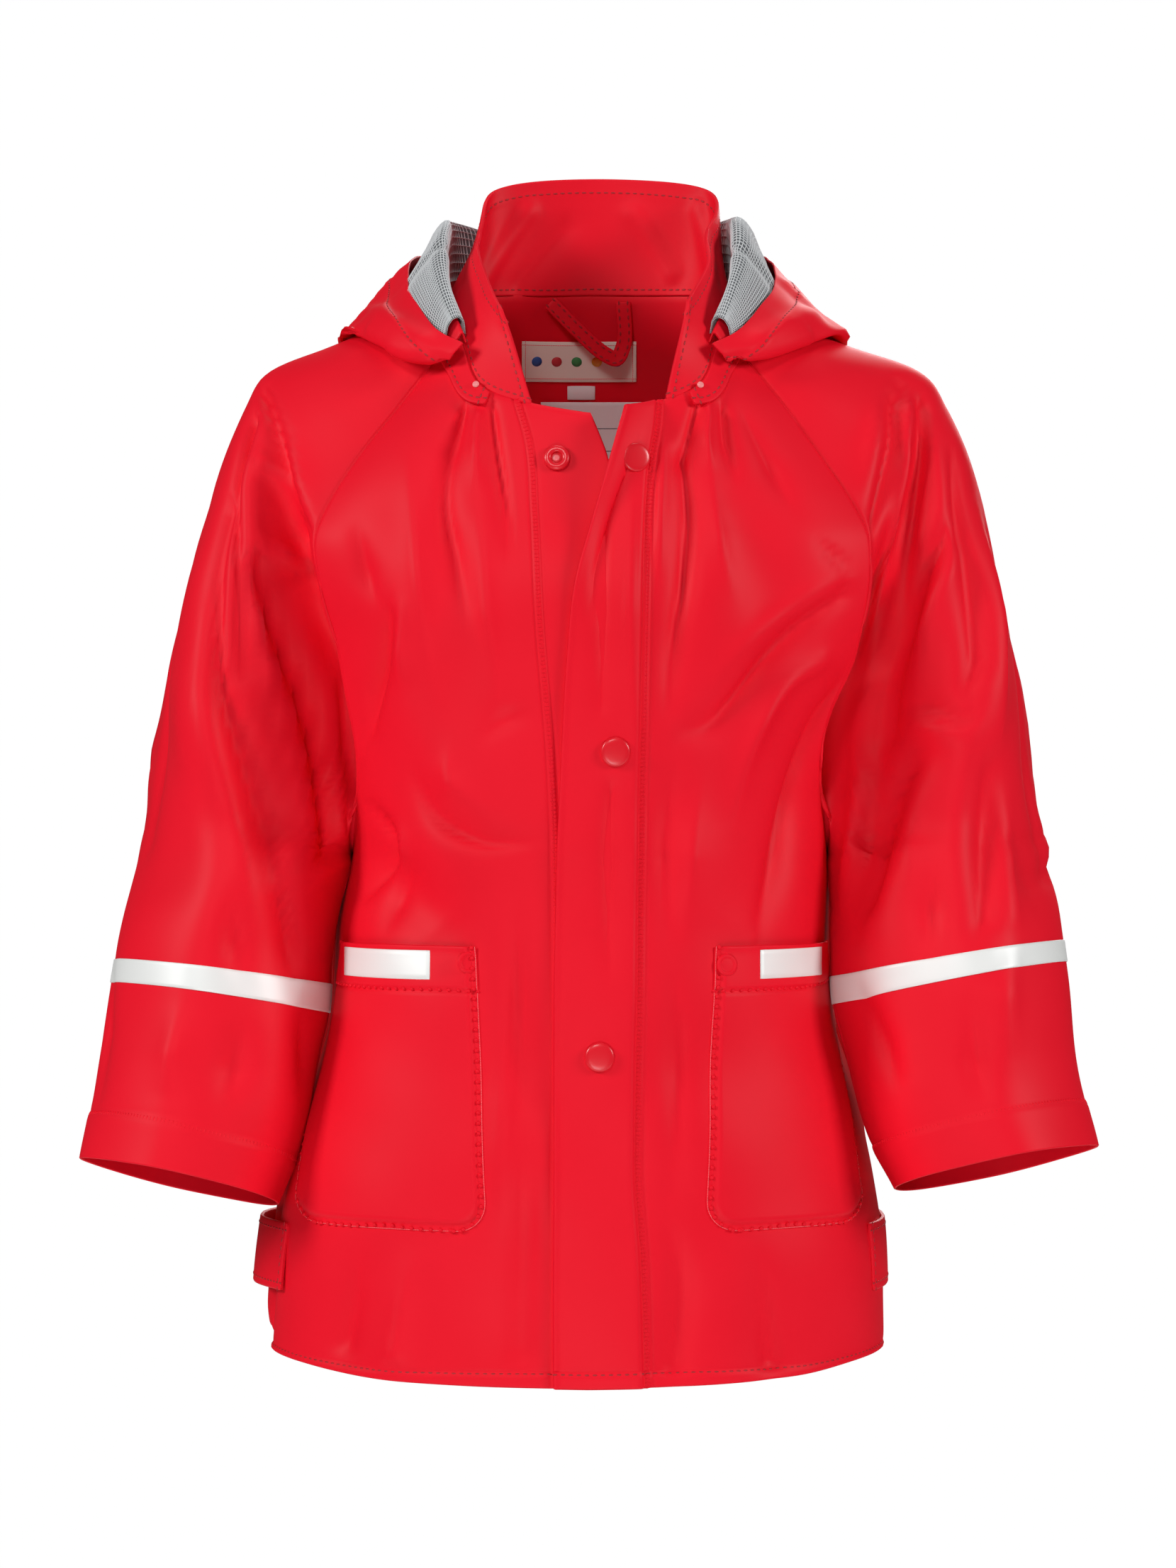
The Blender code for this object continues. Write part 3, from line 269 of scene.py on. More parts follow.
# Hood tabs: angles from the hood's end to the tip, how far they reach down from the neckline, what
# share of that is rounded off at the tip, and the snap's place across and height.
TAB_ANGLES, TAB_DROP, TAB_ROUNDING = (46.0, 22.0), (1.6, 12.0), 0.55
TAB_SNAP = (46.0, -40.0)

# Labels inside the back of the neck: material, place across of the two ends, top and bottom.
LABELS = [
    ("label_neck", "satin", (-29.5, 21.5, -9.0, -25.5)),
    ("label_size", "taffeta", (-9.0, 3.0, -27.5, -33.0)),
    ("label_name", "taffeta", (-21.0, 24.5, -34.5, -72.0)),
]

# The hanger loop's middle line, and its width.
LOOP_WIDTH = 6.0
LOOP_LINE = [
    # place, x, depth, height
    (0.0, -16.5, 43.5, 7),
    (0.25, -5, 45.0, -4.5),
    (0.5, 8, 47.0, -15.5),
    (0.62, 13, 47.5, -17),
    (0.72, 15.5, 47.0, -12),
    (1.0, 15.5, 43.5, 7),
]

# Creases in the cloth, by piece and the face of it that they show on. Negative is a trough.
CREASES = {
    ("body", "front"): [
        # line of (across, height), widths at both ends, lean, depths at the start, middle and end
        ([(-81, -136), (-84, -154), (-88, -169), (-92, -184)], (5, 8), -0.4, (-1.5, -5, -1.5)),
        ([(-76, -132), (-76, -151), (-76, -166)], (4, 7), 0.2, (0.5, 1.8, 0.2)),
        ([(-96, -101), (-92, -118), (-87, -131)], (7, 8), 0, (-0.6, -1.8, -0.5)),
        ([(-57, -66), (-59, -91), (-54, -116), (-50, -138)], (7, 9), 0, (-1.2, -2.8, -0.3)),
        ([(-52, -49), (-54, -59), (-57, -73)], (3, 6), 0, (-2.2, -2.2, -0.4)),
        ([(-46, -53), (-46, -66), (-46, -85)], (3, 6), 0, (1.2, 1.6, 0.2)),
        ([(-40, -50), (-38, -66), (-34, -91), (-31, -116)], (3.5, 6), 0, (-1.8, -2.4, -0.2)),
        ([(-74, -73), (-71, -104), (-67, -135), (-62, -166)], (8, 10), 0, (0.3, 1.8, 0.3)),
        ([(-45, -91), (-41, -135), (-36, -176)], (7, 9), 0, (0.2, 1.6, 0.2)),
        ([(-41, -185), (-34, -179), (-24, -176)], (4, 5), 0, (-0.4, -1.4, -0.2)),
        ([(-72, -201), (-62, -218), (-45, -228), (-24, -229)], (6, 7), 0.3, (-0.4, -2.6, -0.5)),
        ([(-57, -193), (-55, -205), (-41, -216)], (7, 8), 0, (0.4, 1.8, 0.4)),
        ([(-92, -214), (-85, -223), (-83, -231), (-88, -241), (-94, -251)], (3.5, 4.5), -0.3, (-1.5, -5, -2)),
        ([(-80, -221), (-78, -231), (-84, -244)], (4, 5), 0, (0.5, 2, 0.4)),
        ([(-76, -235), (-82, -254), (-84, -266)], (6, 8), 0, (0, -1.6, -0.4)),
        ([(107, -126), (89, -139), (74, -153), (62, -168), (51, -179),
          (40, -183)], (5, 7), 0.3, (-1.6, -3.8, -0.8)),
        ([(102, -121), (86, -131), (69, -144), (54, -160)], (6, 8), 0, (0.6, 2, 0.3)),
        ([(97, -154), (82, -164), (71, -179), (64, -198), (59, -223)], (6, 9), 0, (1.2, 2.8, 0.4)),
        ([(106, -164), (96, -181), (89, -201), (84, -223), (78, -244),
          (72, -264)], (5, 9), 0.35, (-3.5, -5, -0.8)),
        ([(103, -198), (101, -216), (97, -241)], (5, 8), 0, (0.8, 2, 0.4)),
        ([(107, -176), (105, -185), (104, -193)], (2.5, 3), 0, (-2, -3, -1)),
        ([(94, -105), (101, -110), (110, -116)], (2, 2.4), 0, (-0.3, -1.4, -0.3)),
        ([(39, -70), (41, -95), (39, -123), (35, -148), (33, -174)], (4.5, 7), 0, (-2, -3.2, -0.4)),
        ([(31, -66), (30, -91), (29, -120)], (3, 5), 0, (0.8, 2, 0.2)),
        ([(45, -49), (42, -61), (39, -73)], (2.6, 4), 0, (-2.6, -2.6, -1)),
        ([(50, -50), (49, -63), (51, -76)], (3, 4), 0, (1.6, 1.8, 0.2)),
        ([(56, -49), (57, -63), (61, -79)], (3, 5), 0, (-1.8, -2, -0.2)),
        ([(51, -79), (54, -104), (60, -129)], (6, 9), 0, (0.4, 1.6, 0.2)),
        ([(65, -53), (76, -73), (85, -90)], (5, 8), 0, (-0.5, -1.6, -0.3)),
        ([(35, -198), (32, -235), (34, -269)], (6, 8), 0, (-0.2, -1.6, -0.3)),
        ([(47, -204), (42, -235), (41, -266)], (7, 9), 0, (0.2, 1.4, 0.2)),
        ([(-30, -254), (-29, -291), (-27, -335)], (5, 7), 0, (-0.3, -1.5, -0.3)),
        ([(-34, -285), (-35, -335), (-32, -385)], (6, 9), 0, (0.2, 1.3, 0.2)),
        ([(-27, -354), (-26, -385), (-27, -435)], (5, 8), 0, (-0.3, -1.4, -1.2)),
        ([(35, -285), (37, -322), (35, -372)], (5, 8), 0, (-0.2, -1.5, -0.4)),
        ([(33, -385), (38, -410), (35, -441)], (6, 9), 0, (-0.3, -1.5, -1.8)),
        ([(67, -394), (72, -416), (76, -441)], (7, 9), 0, (0, -1.5, -2.2)),
        ([(-72, -394), (-76, -416), (-79, -438)], (8, 10), 0, (0, 1.4, 2)),
        ([(-96, -394), (-97, -416), (-101, -435)], (6, 8), 0, (0, -1.5, -2)),
    ],
    ("over", "front"): [
        ([(16, -73), (8, -95), (3, -118), (0, -141)], (4, 5), 0.3, (-1, -2.2, 0)),
        ([(8, -104), (6, -135), (6, -173)], (4, 6), 0, (-0.3, -1.5, -0.6)),
        ([(9, -207), (8, -235), (9, -285)], (4, 6), 0, (-0.8, -1.6, -0.2)),
        ([(18, -91), (17, -135), (18, -179)], (4, 6), 0, (0.2, 1.2, 0.2)),
    ],
    ("sleeve_left", "front"): [
        ([(-139, -37), (-135, -45), (-131, -58), (-128, -72), (-123, -87), (-117, -104),
          (-111, -119)], (3.5, 5), -0.45, (-4, -7, -4.5)),
        ([(-125, -63), (-120, -79), (-114, -96)], (4, 5), 0.3, (0.5, 1.6, 0.3)),
        ([(-143, -50), (-145, -62), (-149, -77), (-148, -95), (-145, -115), (-144, -136),
          (-143, -159)], (3.5, 5), -0.35, (-3.5, -4, -1.5)),
        ([(-142, -109), (-140, -128), (-135, -149), (-129, -168), (-124, -186), (-120, -205),
          (-116, -226)], (4, 6.5), -0.45, (2.5, 4.5, 1.5)),
        ([(-140, -113), (-135, -133), (-129, -152), (-123, -170), (-117, -189), (-113, -210),
          (-110, -229)], (3, 4.5), 0.4, (-2.5, -5, -3)),
        ([(-154, -88), (-156, -120), (-154, -152), (-148, -178), (-142, -197), (-135, -218),
          (-129, -240)], (5, 7), -0.3, (-2, -3, -1)),
        ([(-161, -133), (-160, -165), (-154, -197), (-143, -236), (-137, -261)], (7, 9), 0, (0.6, 1.8, 0.3)),
        ([(-109, -158), (-109, -175), (-107, -197), (-104, -216),
          (-101, -231)], (2.6, 3.6), -0.2, (0.8, 3, 1)),
        ([(-105, -163), (-103, -183), (-99, -202), (-97, -219)], (2.6, 4), 0.2, (-2, -5, -3)),
        ([(-138, -94), (-129, -99), (-118, -102)], (3, 3.5), 0, (-0.6, -2.4, -1)),
        ([(-142, -69), (-136, -69), (-128, -78), (-120, -92)], (3, 4), 0, (0.8, 2, 0.4)),
        ([(-136, -106), (-127, -108), (-117, -111)], (2.5, 3), 0, (0.8, 1.6, 0.3)),
        ([(-132, -121), (-122, -117), (-112, -115)], (3, 3.5), 0, (-0.4, -2, -1.2)),
        ([(-123, -132), (-118, -149), (-113, -168)], (4, 5), 0, (0.3, 1.5, 0.3)),
        ([(-113, -236), (-106, -233), (-99, -231)], (2.5, 3), 0, (-2.5, -5, -2.5)),
        ([(-114, -243), (-108, -241), (-101, -238)], (2.2, 2.6), 0, (0.6, 2.2, 0.8)),
        ([(-127, -252), (-123, -268), (-120, -287)], (5, 6), -0.2, (-1.6, -2.4, -0.5)),
        ([(-150, -255), (-146, -271), (-143, -287)], (6, 8), 0, (-0.3, -1.4, -0.2)),
        ([(-120, -301), (-118, -319), (-121, -338)], (4, 6), 0, (-0.3, -1.8, -0.2)),
        ([(-169, -297), (-172, -316), (-174, -333)], (7, 9), 0, (0.2, 1.5, 0.2)),
        ([(-143, -303), (-146, -322), (-150, -338)], (7, 9), 0, (-0.2, -1.5, -0.2)),
    ],
    ("sleeve_right", "front"): [
        ([(134, -35), (129, -45), (128, -60), (125, -72), (122, -87), (119, -102),
          (117, -118)], (3, 4), 0.3, (-3, -8, -4.5)),
        ([(136, -45), (134, -60), (133, -73), (129, -88), (125, -111), (122, -133),
          (120, -154)], (3, 4), 0.2, (1.5, 3.5, 2)),
        ([(122, -45), (120, -63), (117, -83)], (4, 5), 0, (0.3, 1.4, 0.3)),
        ([(143, -42), (141, -63), (137, -85), (133, -111), (129, -135),
          (126, -152)], (4, 5), -0.25, (-2.5, -3.2, -1.2)),
        ([(150, -100), (141, -118), (136, -133), (132, -149), (128, -167),
          (126, -184)], (4.5, 6), -0.4, (-1.5, -5, -3)),
        ([(154, -109), (146, -126), (140, -145), (137, -163)], (5, 7), 0.3, (0.6, 2.4, 0.5)),
        ([(156, -67), (158, -92), (160, -114), (162, -136), (162, -154),
          (158, -167)], (4, 6), -0.35, (-1.2, -4, -1.5)),
        ([(166, -88), (168, -120), (170, -152), (170, -184)], (4.5, 6), 0, (0.8, 2.6, 0.6)),
        ([(140, -172), (147, -174), (152, -177), (158, -178), (160, -170)], (2.4, 3), 0, (-1, -3, -1)),
        ([(137, -179), (146, -183), (154, -184)], (3.5, 4), 0, (0.4, 1.6, 0.3)),
        ([(138, -195), (131, -207), (126, -223), (121, -240), (117, -256)], (4, 6), -0.4, (-2, -4, -1.5)),
        ([(142, -205), (136, -223), (132, -245)], (6, 8), 0, (0.4, 1.8, 0.3)),
        ([(118, -168), (115, -188), (113, -210), (110, -233), (108, -256)], (2.6, 3.6), 0.2, (1.5, 3.4, 1.5)),
        ([(124, -159), (122, -181), (119, -207), (115, -231), (111, -252)], (3, 4), 0.2, (-3, -4.5, -1.5)),
        ([(168, -197), (167, -229), (165, -261)], (6, 8), -0.2, (-0.8, -2.4, -1.6)),
        ([(174, -210), (175, -236), (176, -261)], (6, 7), 0, (0.5, 2, 1.2)),
        ([(146, -236), (142, -258), (141, -277)], (6, 8), 0, (-0.2, -1.6, -0.5)),
        ([(177, -271), (172, -293), (174, -319)], (7, 9), 0, (0.3, 1.6, 0.3)),
        ([(113, -293), (122, -313), (129, -333)], (5, 7), 0, (-1.2, -2.2, -0.3)),
        ([(158, -293), (160, -319), (164, -338)], (6, 8), 0, (-0.2, -1.6, -0.2)),
    ],
    ("body", "back"): [
        ([(-72, -110), (-82, -150), (-97, -196)], (6, 9), 0.2, (-1, -3.4, -1)),
        ([(75, -118), (86, -158), (99, -202)], (6, 9), -0.2, (-1, -3, -1.4)),
        ([(-96, -215), (-78, -240), (-52, -258)], (5, 9), 0, (-2.6, -2.8, -0.6)),
        ([(97, -222), (76, -250), (60, -286)], (5, 10), 0, (-2.4, -3, -0.5)),
        ([(-24, -190), (-30, -270), (-27, -352)], (12, 15), 0, (0, -2.4, -0.4)),
        ([(42, -170), (36, -250), (44, -340)], (12, 16), 0, (0, -2.2, -0.4)),
        ([(8, -250), (14, -330), (8, -440)], (12, 16), 0, (0, 2, 1.4)),
        ([(-58, -300), (-70, -360), (-66, -444)], (12, 15), 0, (0, 1.8, 2)),
        ([(80, -310), (78, -370), (88, -444)], (11, 15), 0, (0, -2, -2.4)),
        ([(-92, -330), (-98, -380), (-94, -440)], (9, 12), 0, (0, -1.8, -2)),
        ([(-50, -96), (-30, -104), (-8, -98)], (6, 8), 0, (-0.5, -1.6, -0.5)),
        ([(14, -118), (34, -130), (58, -128)], (6, 8), 0, (-0.4, -1.5, -0.4)),
    ],
    ("body", "left"): [
        ([(-20, -300), (-24, -360), (-18, -440)], (10, 13), 0, (0, -1.8, -2)),
    ],
    ("body", "right"): [
        ([(16, -300), (22, -370), (18, -440)], (10, 14), 0, (0, -1.8, -2)),
    ],
    ("sleeve_left", "left"): [
        ([(-6, -90), (-14, -150), (-20, -230)], (7, 10), 0, (-0.6, -2.6, -0.8)),
        ([(14, -120), (8, -190), (-2, -262)], (7, 9), 0, (0.5, 2.2, 0.6)),
        ([(-30, -280), (-40, -310), (-52, -340)], (6, 9), 0, (-0.3, -1.5, -0.3)),
    ],
    ("sleeve_left", "back"): [
        ([(-146, -104), (-138, -150), (-124, -210), (-112, -252)], (5, 8), 0.2, (-1.5, -4, -1)),
        ([(-157, -110), (-152, -170), (-140, -240)], (6, 9), 0, (0.6, 3, 0.8)),
        ([(-128, -96), (-118, -108), (-106, -120)], (4, 5), 0, (-1.4, -2.6, -1.4)),
        ([(-160, -280), (-154, -310), (-152, -350)], (8, 11), 0, (0, -1.8, -0.6)),
    ],
    ("sleeve_right", "right"): [
        ([(-42, -244), (0, -240), (42, -238)], (11, 11), 0, (-1.7, -1.7, -1.7)),
        ([(-42, -229), (0, -226), (42, -224)], (7, 7), 0, (-0.8, -0.8, -0.8)),
        ([(-10, -96), (-12, -160), (-22, -240)], (7, 10), 0, (-0.6, -2.4, -0.8)),
        ([(16, -110), (10, -180), (0, -250)], (7, 9), 0, (0.5, 2.2, 0.6)),
    ],
    ("sleeve_right", "back"): [
        ([(150, -100), (140, -148), (128, -205), (114, -250)], (5, 8), -0.2, (-1.5, -4, -1)),
        ([(160, -112), (156, -170), (146, -236)], (6, 9), 0, (0.6, 2.8, 0.8)),
        ([(131, -90), (121, -104), (108, -118)], (4, 5), 0, (-1.4, -2.8, -1.2)),
        ([(150, -268), (157, -300), (154, -345)], (8, 11), 0, (0, 1.8, 0.4)),
    ],
}
# A face's own across, up and outward axes, and its outward sign.
FACES = {"front": (0, 2, 1, -1), "back": (0, 2, 1, 1), "left": (1, 2, 0, -1), "right": (1, 2, 0, 1)}
# How quickly a fold or crease fades as its cloth turns away from its face.
FACING_GAIN = 1.6
# How strongly the creases of the sleeves and of the body are drawn, and how narrow.
SLEEVE_CREASES, BODY_CREASES = (3.0, 0.85), (2.2, 0.7)
# The deepest that a crease may be, in its half-widths.
STEEPEST = 1.5
# A fold's crest and the reach of its sides, in its half-widths.
FOLD_CREST, FOLD_SIDE = 0.22, 0.75
# How far from a raglan seam a piece's own creases fade out.
CREASE_FADE = 4.0

# Creases of the hood (place round the neck and share of its section) and of the collar (share of its
# height and turn round the neck): the line's two ends, half-width, depth.
HOOD_CREASES = [
    (0.5, 0.66, 2.2, 0.72, 4, -1.8),
    (1.0, 0.86, 3.2, 0.80, 5, -2.0),
    (1.6, 0.60, 3.4, 0.66, 5, 1.6),
    (3.0, 0.62, 3.6, 0.95, 6, -2.2),
    (4.3, 0.60, 4.0, 0.96, 7, 2.2),
    (5.1, 0.64, 4.8, 0.98, 6, -2.4),
    (6.4, 0.62, 6.2, 0.94, 8, 1.8),
    (7.2, 0.60, 7.4, 0.97, 6, -2.4),
    (8.1, 0.64, 8.3, 0.96, 7, 2.0),
    (9.0, 0.60, 8.8, 0.94, 6, -2.2),
    (10.8, 0.84, 9.2, 0.78, 5, -2.0),
    (11.4, 0.64, 10.0, 0.70, 4, -1.6),
    (5.6, 0.30, 5.3, 0.50, 5, -1.6),
    (6.8, 0.28, 7.0, 0.50, 5, -1.6),
    (2.2, 0.16, 2.6, 0.40, 4, -1.4),
    (9.9, 0.16, 9.5, 0.40, 4, -1.4),
]
COLLAR_CREASES = [
    (0.15, 128, 0.75, 152, 4, -2.2),
    (0.10, 150, 0.60, 170, 5, 1.6),
    (0.72, 196, 0.20, 214, 4, -2.0),
    (0.80, 226, 0.30, 240, 4, -1.8),
    (0.30, 70, 0.80, 84, 5, -0.9),
    (0.75, 278, 0.25, 292, 5, -0.9),
]
# Random unevenness of the cloth: seed, number of waves, how high they are, and their lengths.
UNEVEN_SEED, UNEVEN_COUNT, UNEVEN, UNEVEN_WAVES = 12, 14, 0.22, (34.0, 110.0)

# Where each sleeve rests against its side below the underarm: by height, how far the sleeve's inner
# face sinks in towards the body and how far the body's side spreads out to it.
RESTING = {
    LEFT: [(-352, 0, 0), (-335, 0, 1.8), (-325, 0.6, 2.8), (-315, 1.6, 3.9), (-305, 2.8, 3.8),
           (-295, 3.0, 4.0), (-285, 2.4, 3.8), (-275, 1.8, 3.6), (-265, 0.8, 3.6), (-255, 0, 3.6),
           (-245, 0.6, 5.2), (-238, 1.2, 5.2), (-231, 0.8, 3.0), (-225, 0.2, 0.8), (-219, 0, 0)],
    RIGHT: [(-358, 0, 0), (-340, 0, 4.2), (-325, 1.0, 5.0), (-315, 2.4, 5.2), (-305, 3.8, 5.4),
            (-295, 4.2, 5.0), (-285, 3.8, 4.6), (-275, 3.2, 4.2), (-265, 2.3, 4.2), (-255, 0.6, 4.8),
            (-245, 0.6, 6.0), (-238, 1.2, 5.4), (-231, 0.8, 3.0), (-225, 0.2, 0.8), (-219, 0, 0)],
}
# Where along y each of the two rests, over what width, how far in a sleeve's inner face starts, and
# between which distances out the body's side does.
RESTING_DEPTHS, RESTING_WIDTH, SLEEVE_FACE, BODY_FACE = (-22.0, 14.0), 16.0, 18, (60, 90)

# Below this agreement of the two sides' normals, a seam is a deep crease.
SHARP = 0.55
# How steeply the folds and seams fade where the cloth turns sharply.
SHARP_POWER = 6

# Seams and hems. A groove or lip is its height (a depth is below 0) and its width. A covered seam is a
# band of a half-width, whose edge falls from COVER_IN inside it, with a groove COVER_OUT beyond it. A
# hem steps down over HEM_FALL at its row, with a groove HEM_OUT beyond it.
SEAM = (-0.7, 0.9)
COVER_HALF, COVER_RISE = 1.3, 0.3
COVER_IN, COVER_FALL, COVER_OUT, COVER_GROOVE = 0.2, 0.5, 0.6, (-0.35, 0.5)
HEM_ROW, CUFF_ROW, HOOD_HEM, COLLAR_ROW = 5.5, 19.0, 12.0, 5.5
HEM_STEP, HEM_FALL, HEM_OUT, HEM_GROOVE = 0.7, 1.2, 0.2, (-0.6, 0.8)
COLLAR_GROOVE = (-0.3, 0.9)
# A pocket: how far it lies out, where its flange ends and how far and over what width it rises there,
# the same for the band at its top, the band's rows, and its top's lip.
POCKET_BASE = 0.45
POCKET_FLANGE, POCKET_RISE, POCKET_SLOPE = 2.1, 1.5, 1.7
POCKET_BAND_ROW, BAND_RISE, BAND_SLOPE, BAND_GROOVE = 18.0, 0.45, 1.2, (-0.6, 1.1)
BAND_ROWS = np.arange(-2.4, 2.5, 0.6)
POCKET_LIP = (0.35, 1.8)

# Rows of stitches: distance from an edge, and how far out from the cloth.
HEM_SEWN, COVER_SEWN = -0.1, 0.05
# On the collar: along rows (0) or columns (1), distance, whether from the last one, and how far out.
COLLAR_ROWS = ((0, COLLAR_ROW, True, 0.15), (0, 2.2, False, 0.15), (1, 2.6, False, 0.2), (1, 2.6, True, 0.2))
BEAD_ROW, BEAD_SEWN, BAND_SEWN, CUT_EDGE_ROW = 1.5, 0.25, 0.1, 0.1
STRAP_ROW, TAB_ROW, LOOP_ROW, LABEL_ROW = 2.5, 2.2, 1.1, 1.4
# The sides of a pocket that are sewn down.
SEWN_SIDES = ("bottom", "top", "start")
# How far the pieces that are sewn on lie out from the form that they follow.
COLLAR_LIFT, STRAP_LIFT, TAB_LIFT, LOOP_LIFT = 0.2, 1.6, 1.8, 0.3
SLEEVE_TAPE_LIFT, POCKET_TAPE_LIFT, LABEL_LIFT = 0.55, 0.35, -1.3

# Stitch kinds: pitch, length, width and height, and what they are made of.
STITCHES = {
    "stitches_thread": ((3.2, 2.2, 0.85, 0.5), "thread"),
    "stitches_cover": ((1.7, 0.5, 2.5, 0.5), "cloth"),
    "stitches_beads": ((4.1, 1.9, 1.7, 1.5), "cloth"),
    "stitches_edges": ((1.0, 1.15, 0.3, 0.25), "cut"),
}
# The sizes' names in a stitch kind's node group.
STITCH_SIZES = ("Pitch", "Length", "Width", "Height")

# How finely the pieces are drawn: steps between rows, the first few steps from an edge, and each
# piece's drawn width with the step between its columns.
ROW_STEP, RAGLAN_ROWS, SLEEVE_BELOW = 3.0, 74, 132.0
EDGE_STEPS = np.array([0.0, 0.45, 0.9, 1.3, 1.7, 2.2, 2.9, 3.8, 5.2])
HEM_STEPS = np.array([0, 0.5, 1.2, 2.2, 3.4, 4.4, 5.0, 5.5, 6.0, 6.6, 7.6, 9.0])
CUFF_STEPS = np.array([0, 0.5, 1.2, 2.2, 4, 6.5, 9, 12, 15, 17, 18, 18.6, 19.2, 19.8, 20.4, 21.2, 22.5, 24.5])
COLUMNS = {"front": (100, 1.9), "placket_under": (27, 1.5), "placket_over": (38, 1.6), "back": (230, 2.6),
           "sleeve": (190, 2.2), "hood": (190, 2.2), "collar": (60, 2.4), "pocket": (62, 1.9)}
COLLAR_COLUMNS, HOOD_ROWS, POCKET_ROW_STEP, PATCH_STEP, RULE_STEP = 150, 170, 2.2, 1.5, 1.0
# Points along a pocket's outline, a round piece's circle and profile, and a crease's line, and the
# points along and across the straps, the hood tabs and the hanger loop.
POCKET_OUTLINE, ROUND_SIDES, PROFILE_POINTS, LINE_POINTS = 900, 40, 28, 30
STRAP_POINTS, TAB_POINTS, LOOP_POINTS = (40, 16), (26, 14), (60, 7)
# The search for a place on a grid: every so many points at first, then steps of so many points at most.
COARSE, LOCATE_TURNS, LONGEST_STEP, STEP_SHARE, HEIGHT_TURNS = 4, 14, 6, 0.8, 8
# Stands for no limit, for no length, and for no area.
FAR, TINY, FLAT = 1e9, 1e-9, 1e-6

# The net: its mesh, its yarns, its part of the hood (places round the neck, shares of a section, and
# size), and the shares of a section between which it turns over the crest.
NET_PITCH, NET_YARN = 2.0, 0.7
NET_PLACES, NET_SHARES, NET_SIZE = (0.2, 11.8), (0.01, 0.5), (300.0, 72.0)
NET_CREST = (0.09, 0.18)
# How far it stands off the shell that it lines, by share of the way across, how much of that it has at
# its ends, and where along its length it reaches the whole.
NET_PUFF = [(0, 1.2), (0.08, 2.6), (0.12, 3.6), (0.17, 4.6), (0.25, 5.2), (0.36, 4.2), (0.44, 2.4),
            (0.5, 1.2)]
NET_END_SHARE, NET_END_REACH = 0.7, (14, 64)
# What is added to the shell's directions so that they point up and out of it.
NET_UP = (0, 0, 0.9)

# What each piece of cloth, tape or net was cut as, where it shows: width and length in mm, area in square cm.
# The hanger loop's width is that of its tape, unfolded.
CUT = {
    "cloth_front_left": (182.4, 491.7, 564.3),
    "cloth_front_right": (164.1, 491.5, 529.7),
    "cloth_back": (370, 512.2, 1270.8),
    "cloth_placket_under": (35.7, 409.8, 119.2),
    "cloth_placket_over": (39.2, 408.7, 136.8),
    "cloth_sleeve_left": (319.2, 451.5, 994.1),
    "tape_sleeve_left": (282.1, 12.3, 30.4),
    "cloth_sleeve_right": (321.2, 446.8, 990.2),
    "tape_sleeve_right": (295.8, 11.7, 30.3),
    "cloth_collar": (373.7, 50.5, 115.1),
    "cloth_hood_shell": (345.8, 618.1, 886.2),
    "net_hood_lining": (174.7, 538.7, 416.2),
    "cloth_pocket_left": (103, 122, 117.3),
    "tape_pocket_left": (56.4, 11.7, 6.51),
    "cloth_strap_left": (90.5, 27.2, 24.5),
    "cloth_hood_tab_left": (12.6, 36.9, 3.17),
    "cloth_pocket_right": (98, 122, 111.2),
    "tape_pocket_right": (47, 11.6, 5.29),
    "cloth_strap_right": (87.1, 27, 23.5),
    "cloth_hood_tab_right": (12.6, 37, 3.24),
    "tape_label_neck": (50.9, 19.2, 9.49),
    "tape_label_name": (45.3, 40, 18),
    "cloth_hanger_loop": (12, 71.2, 3.85),
}

# Colours as they look, sRGB.
RED_LIT, RED_DEEP = "#ED152B", "#E30D23"
# The coated cloth's sheen with its duller and shinier patches, and how light bends in cloth and snaps.
CLOTH_ROUGHNESS, CLOTH_DULLING = 0.5, (-0.04, 0.06)
CLOTH_IOR, CLOTH_SPECULAR, SNAP_IOR = 1.4, 0.18, 1.48
# The cloth's patches of shade, and its knit's grain, in millimetres.
PATCH_SIZE, KNIT_GRAIN = 60, (0.6, 0.25, 0.04)
# The plain materials, by use: name, colour, roughness, metallic, and the grain's size, strength and depth.
MATERIALS = {
    # Polyester thread, twisted: duller than the coating. Its dark red is partly the thread's own and partly
    # painted shade of the dips that the stitches pull into the cloth.
    "thread": ("polyester_thread_red", "#A80C18", 0.6, 0, None),
    # The bare knit at a cut edge: pale where the coating stops.
    "cut": ("knit_cut_edge", "#F0666C", 0.8, 0, None),
    # Warp-knitted polyester mesh: matt yarns with a slight lustre.
    "net": ("polyester_mesh_grey", "#CBCDCF", 0.55, 0, (0.35, 0.4, 0.08)),
    # A plain dark grey layer behind the net's yarns, so that the shell doesn't show through them: painted
    # shade of the holes between the yarns.
    "behind": ("net_holes_painted_shade", "#5A5D60", 0.8, 0, None),
    # Heat-transferred glass-bead tape: grey-white and even, since the beads send light back.
    "tape": ("reflective_tape_silver", "#EDEEEC", 0.5, 0.15, (0.5, 0.3, 0.03)),
    # Woven polyester satin label: slight sheen across its threads, 0.4 mm here so that they show.
    "satin": ("woven_satin_ivory", "#EFEBDD", 0.6, 0, (0.4, 0.35, 0.05)),
    # Printed nylon taffeta of the size and name tags: smooth and white.
    "taffeta": ("nylon_taffeta_white", "#F1F2F1", 0.55, 0, (0.4, 0.2, 0.03)),
    # Printing ink on the name tag's rules.
    "ink": ("printed_ink_grey", "#7C8086", 0.7, 0, None),
    # Moulded acetal snaps, coloured with the cloth: a smooth gloss.
    "snap": ("acetal_snap_red", "#DC1626", 0.28, 0, None),
    # Nickel-plated small snaps at the hood tabs, coloured pale pink: a painted highlight of their shine.
    "pale": ("snap_pale_painted_highlight", "#EE8C8C", 0.35, 0, None),
}
DOT_COLOURS = ("#2C5FA8", "#C8323C", "#3C9454", "#E5B83A")
FLOOR_WHITE = "#F4F4F3"

